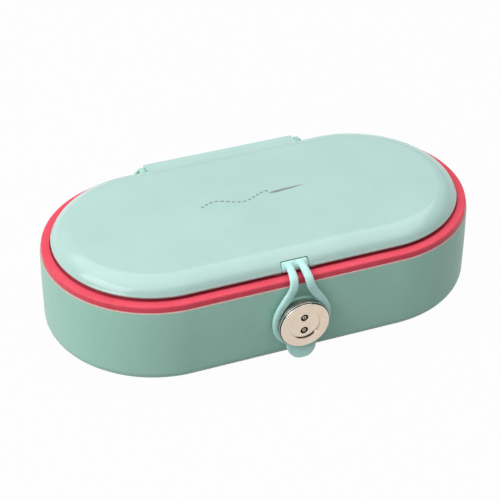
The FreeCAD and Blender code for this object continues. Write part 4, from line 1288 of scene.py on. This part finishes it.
def dividerOutline(halfTop, halfFoot, corner, shift=0.0):
    top, foot, radius = divider["top"], case["trayFloor"], divider["fingerRadius"]
    centre = top + radius - divider["fingerDepth"]
    reach = math.sqrt(radius ** 2 - (centre - top) ** 2)
    notch = [Vector((x + shift, centre - math.sqrt(max(0.0, radius ** 2 - x * x))))
             for x in (reach * math.sin(math.radians(7.5 * i)) for i in range(-12, 13))]
    shoulder = divider["shoulderRadius"]
    return notch[1:-1] + rounded([
        (notch[-1].x, top), (halfTop, top, shoulder), (halfFoot, foot, corner),
        (-halfFoot, foot, corner), (-halfTop, top, shoulder), (notch[0].x, top)], 5)


def makeDividers():
    half, y, width = divider["thickness"] / 2, divider["y"], divider["ribWidth"]
    # the cut sits in front of the long divider
    outline = dividerOutline(divider["shoulder"], divider["foot"], divider["footCorner"],
                             -divider["fingerRadius"])
    plates = []
    for side in (-1, 1):
        x = side * divider["x"]
        plate = eased(barAlongX("plate", outline, x - half, x + half, 0.0), divider["ease"], 2, 40)
        inner = x - side * half
        low, high = sorted((inner + side * divider["ribSink"], inner - side * divider["ribDepth"]))
        ribs = [block("rib", (low, start, case["trayFloor"] + 0.01),
                      (high, start + width, divider["top"] - 0.02), divider["ribEase"])
                for start in (y - divider["slot"] - width, y + divider["slot"])]
        plates.append(combined(plate, ribs, "UNION"))
    finished(joined("crossDividers", plates), dividerPlastic, "root",
             ["cross_dividers"])
    reach = divider["x"] - half - divider["gap"]
    outline = dividerOutline(reach, reach, divider["longCorner"])
    plate = barAlongX("longDivider", outline, y - half, y + half, 0.0)
    plate = eased(moved(plate, Matrix.Rotation(-math.pi / 2, 4, "Z")), divider["ease"], 2, 40)
    finished(plate, dividerPlastic, "root", ["long_divider"])


makeDividers()

# The spool rack: a strip with round ends, five pegs and two spigots under it
rack = {
    "y": -4.0, "half": 38.1, "wide": 6.0, "thick": 2.4, "ease": 0.5,
    "peg": [(0, 0), (4.0, 0), (2.6, 1.4, 1.2), (2.6, 19.6, 1.6), (1.5, 21.4, 0.9), (0, 21.4)],
    "pegs": 5, "pegPitch": 16.0, "spigotRadius": 1.6, "spigotX": 16.0, "spigotFoot": 7.01,
}


def makeRack():
    y, floor, top = rack["y"], case["trayFloor"], case["trayFloor"] + rack["thick"]
    outline = roundedPlate(rack["half"], rack["wide"], rack["wide"] - 0.01, 12)
    strip = loft("strip", [[(p.x, p.y + y, z) for p in outline] for z in (floor, top)])
    eased(strip, rack["ease"], 3)
    middle = (rack["pegs"] - 1) / 2
    pegs = copiesOf("pegs", turned("peg", rounded(rack["peg"], 6), 25),
                    [((i - middle) * rack["pegPitch"], y, top - 0.02) for i in range(rack["pegs"])])
    radius, foot = rack["spigotRadius"], rack["spigotFoot"]
    height = floor - foot + 0.01
    spigot = turned("spigot", [(0, 0), (radius, 0), (radius, height), (0, height)], 17)
    spots = [(x, y, foot) for x in (-rack["spigotX"], rack["spigotX"])]
    spigots = copiesOf("spigots", spigot, spots)
    finished(joined("spoolRack", [strip, pegs, spigots]), rackPlastic, "root",
             ["spool_rack"])


makeRack()

# The needle pad, as (inset, depth) rows from its back to its face, with a seam, and its frame
pad = {
    "x": -33.72, "halfX": 27.72, "halfY": 17.0, "corner": 6.0,
    "rows": [(0.0, 0.0), (0.0, 1.6), (0.1, 2.6), (0.4, 3.4), (1.0, 4.05), (1.9, 4.45),
             (3.2, 4.7), (5.2, 4.85), (8.0, 4.94), (11.5, 4.98), (15.5, 5.0)],
    "seamInset": 3.4, "seamCorner": 4.6, "seamDepth": 4.72, "stitches": 46,
    "stitchSize": (2.0, 0.5, 0.42),
    # the frame's section, as (outset, depth) points round it
    "frame": [(3.3, 0.0), (3.3, 1.8), (3.2, 2.2), (2.96, 2.48), (2.5, 2.6), (0.8, 2.6),
              (0.45, 2.48), (0.3, 2.1), (0.3, 0.0), (3.3, 0.0)],
}


def padRing(outset, corner, depth):
    outline = roundedPlate(pad["halfX"] + outset, pad["halfY"] + outset, corner, 8)
    return [(p.x + pad["x"], p.y, case["linerBottom"] - depth) for p in outline]


def makePad():
    corner = pad["corner"]
    piece = loft("needlePad", [padRing(-inset, max(1.0, corner - inset * 0.4), depth)
                               for inset, depth in pad["rows"]])
    finished(piece, padFelt, "lid", ["needle_pad"], crease=50)
    row = padRing(-pad["seamInset"], pad["seamCorner"], pad["seamDepth"])
    seam = stitches("padStitches", row + row[:1], pad["stitches"], *pad["stitchSize"])
    finished(seam, padThread, "lid", crease=60)
    edge = loft("padFrame", [padRing(outset, corner + outset, depth)
                             for outset, depth in pad["frame"]], capped=False)
    finished(edge, trayPlastic, "lid", ["needle_pad_frame"], crease=50)


makePad()

# The tool band: an elastic that is riveted down on lands and stands off in arches between them
band = {
    "width": 14.0, "thick": 0.9, "arch": 15.84, "land": 6.0, "archHeight": 3.2, "arches": 3,
    "archSteps": 16, "square": 5,
    "rivet": [(0, 1.9), (1.0, 1.9), (1.0, 0.0), (2.2, 0.0), (2.1, -0.35, 0.3),
              (1.3, -0.95, 0.8), (0, -1.0)],
}


def bandPath():
    x = band["land"]
    path = [Vector((0.0, 0.0)), Vector((x, 0.0))]
    for arch in range(band["arches"]):
        for i in range(1, band["archSteps"] + 1):
            share = i / band["archSteps"]
            path.append(Vector((x + band["arch"] * share,
                                -band["archHeight"] * math.sin(math.pi * share) ** 0.9)))
        x += band["arch"] + band["land"]
        path.append(Vector((x, 0.0)))
    return path


def makeBand():
    z, thick, path = case["linerBottom"], band["thick"], bandPath()
    sections = []
    for i, point in enumerate(path):
        ahead = heading(path, i).normalized()
        normal = Vector((ahead.y, -ahead.x))
        row = [(point + normal * (h + thick / 2), w)
               for w, h in softSection(band["width"] / 2, thick / 2, 24, band["square"])]
        sections.append([(place.x, w, z + place.y) for place, w in row])
    piece = loft("toolBand", sections)
    finished(piece, bandElastic, "lid", ["tool_band"], crease=50)
    pitch = band["arch"] + band["land"]
    rivets = copiesOf("bandRivets", turned("rivet", rounded(band["rivet"], 5), 25),
                      [(band["land"] / 2 + pitch * i, 0, z - thick)
                       for i in range(band["arches"] + 1)])
    finished(rivets, studNickel, "lid", ["band_rivets"])


makeBand()

# A plain mark on the lid: a needle with a row of running stitches behind it, in thin grey ink
mark = {
    "left": -24.6, "y": 3.5, "stitches": 14, "stitchSize": (1.8, 1.0, 0.05),
    "waveLength": 31.0, "waveHeight": 2.1, "waves": 1.25,
    "needleStart": 6.9, "needleEnd": 24.4, "needleHalf": 0.75, "needleRise": 1.2,
    "headShare": 0.12, "pointPower": 2.2, "least": 0.03,
    "eyeX": 8.4, "eyeY": 3.58, "eyeHalf": (0.75, 0.22), "fine": 0.0001,
}


# Half the needle's width at a share of its length: a round head, then a long point
def needleHalf(share):
    head = mark["headShare"]
    if share < head:
        return mark["needleHalf"] * math.sqrt(max(0.0, 1 - (share / head - 1) ** 2))
    return mark["needleHalf"] * (1 - ((share - head) / (1 - head)) ** mark["pointPower"])


def makeMark():
    z, y = case["lidTop"] + 0.01, mark["y"]
    wave = [(mark["left"] + mark["waveLength"] * share,
             y + mark["waveHeight"] * math.sin(2 * math.pi * share * mark["waves"]), z)
            for share in (i / 40 for i in range(41))]
    row = stitches("markStitches", wave, mark["stitches"], *mark["stitchSize"])
    start, length = mark["needleStart"], mark["needleEnd"] - mark["needleStart"]
    shares = [i / 24 for i in range(25)]
    outline = []
    for side, part in ((1, shares), (-1, reversed(shares))):
        outline += [(start + length * share, y + mark["needleRise"] * share
                     + side * max(mark["least"], needleHalf(share))) for share in part]
    needle = loft("needle", [[(*p, height) for p in outline] for height in (z - 0.1, z + 0.02)],
                  near=mark["fine"])
    wide, high = mark["eyeHalf"]
    eye = [(mark["eyeX"] + wide * math.cos(a), mark["eyeY"] + high * math.sin(a))
           for a in (math.pi * k / 10 for k in range(20))]
    eye = loft("eye", [[(*p, height) for p in eye] for height in (z - 1, z + 1)],
               near=mark["fine"])
    combined(needle, [eye], "DIFFERENCE")
    finished(joined("lidMark", [row, needle]), markInk, "lid", crease=60)


makeMark()

# The screw and washer behind the stud keep their solids and get a real finish
for name in ("button_washer", "button_screw"):
    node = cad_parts[name]
    node.data.materials.clear()
    node.data.materials.append(screwSteel)
print("stage: inside made")

# The studio: pale floor, white backdrop for the camera, soft lamps from the upper left
studio = {
    "floorSize": 4.0, "floorTone": 0.32, "glow": 0.975,    # glow is the share of plain white seen
    "ambient": 0.235,                                       # light from all round on the case
    "backdrop": [(0.0, 0.98), (0.56, 0.98), (0.62, 0.25), (1.0, 0.25)],
    # name: place, what it looks at, size, power, colour
    "lamps": {
        "ceiling": ((0, 0.22, 1.5), (0, 0.22, 0), (2.6, 2.4), 29.0, (1.0, 0.995, 0.98)),
        "side": ((-1.6, -0.35, 1.2), (0, 0, 0.03), (1.8, 1.1), 24.0, (1.0, 1.0, 1.0)),
    },
}


def grey(tone):
    return rgb(tone, tone, tone)


# The camera, shines and clear pieces all see the same plain white
def seenRays(graph):
    camera, glossy, clear = (graph.add("ShaderNodeLightPath", out="Is " + kind + " Ray")
                             for kind in ("Camera", "Glossy", "Transmission"))
    return camera.under("MAXIMUM", glossy).under("MAXIMUM", clear)


def makeFloor():
    far = studio["floorSize"]
    floor = plainMesh("floor", [(-far, -far, 0), (far, -far, 0), (far, far, 0), (-far, far, 0)],
                      [(0, 1, 2, 3)])
    material, graph, place = newMaterial("floorPaper", {"Base Color": grey(studio["floorTone"]),
                                                        "Roughness": 0.9})
    nodes = material.node_tree.nodes
    graph.dress(normal=graph.bump(graph.noise(place, 0.8, 3.0), 0.1, 0.02))
    glow = graph.add("ShaderNodeEmission", None, {"Color": grey(1), "Strength": 1.0})
    paper = Wire(graph, nodes["Principled BSDF"].outputs[0])
    mix = graph.add("ShaderNodeMixShader", None,
                    {0: seenRays(graph) * studio["glow"], 1: paper, 2: glow})
    graph.put(nodes["Material Output"].inputs["Surface"], mix)
    floor.data.materials.append(material)


def makeWorld():
    world = bpy.data.worlds.new("studio")
    bpy.context.scene.world = world
    world.use_nodes = True
    graph = Graph(world.node_tree)
    height = graph.axis(graph.add("ShaderNodeTexCoord", out="Generated"), "Z")
    stops = [(place, grey(tone)) for place, tone in studio["backdrop"]]
    backdrop = graph.add("ShaderNodeValToRGB", {"stops": stops}, {0: height * 0.5 + 0.5})
    tone = graph.blend(seenRays(graph), grey(studio["ambient"]), backdrop)
    graph.put(world.node_tree.nodes["Background"].inputs["Color"], tone)


def makeLamps():
    for name, (place, aim, size, power, colour) in studio["lamps"].items():
        light = bpy.data.lights.new(name, "AREA")
        light.shape = "RECTANGLE"
        light.size, light.size_y = size
        light.energy = power
        light.color = colour
        lamp = linked(name, light)
        lamp.location = place
        lamp.rotation_euler = (Vector(aim) - Vector(place)).to_track_quat("-Z", "Y").to_euler()


makeFloor()
makeWorld()
makeLamps()

# The camera at the photograph's viewing angle, worked out from its outlines
view = {"azimuth": -21.2666, "elevation": 36.1321, "roll": 0.3679, "distance": 0.7413,
        "aim": (0, 0, 0.025), "focalPixels": 1635.67, "centreX": 257.156, "centreY": 242.054,
        "frame": 500, "sensor": 36.0}


def makeCamera():
    azimuth, elevation = math.radians(view["azimuth"]), math.radians(view["elevation"])
    level, roll, frameSize = math.cos(elevation), math.radians(view["roll"]), view["frame"]
    back = Vector((math.sin(azimuth) * level, -math.cos(azimuth) * level, math.sin(elevation)))
    right = (-back).cross(Vector((0, 0, 1))).normalized()
    up = right.cross(-back)
    across = right * math.cos(roll) + up * math.sin(roll)
    upward = up * math.cos(roll) - right * math.sin(roll)
    data = bpy.data.cameras.new("camera")
    data.sensor_width = view["sensor"]
    data.lens = view["sensor"] * view["focalPixels"] / frameSize
    data.shift_x = (frameSize / 2 - view["centreX"]) / frameSize
    data.shift_y = (view["centreY"] - frameSize / 2) / frameSize
    data.clip_start, data.clip_end = 0.01, 50
    camera = linked("camera", data)
    place = Vector(view["aim"]) + back * view["distance"]
    camera.matrix_world = Matrix((
        (across.x, upward.x, back.x, place.x),
        (across.y, upward.y, back.y, place.y),
        (across.z, upward.z, back.z, place.z),
        (0, 0, 0, 1)))
    bpy.context.scene.camera = camera


makeCamera()
bpy.context.scene.view_settings.view_transform = "Standard"

print("stage: studio and camera made")
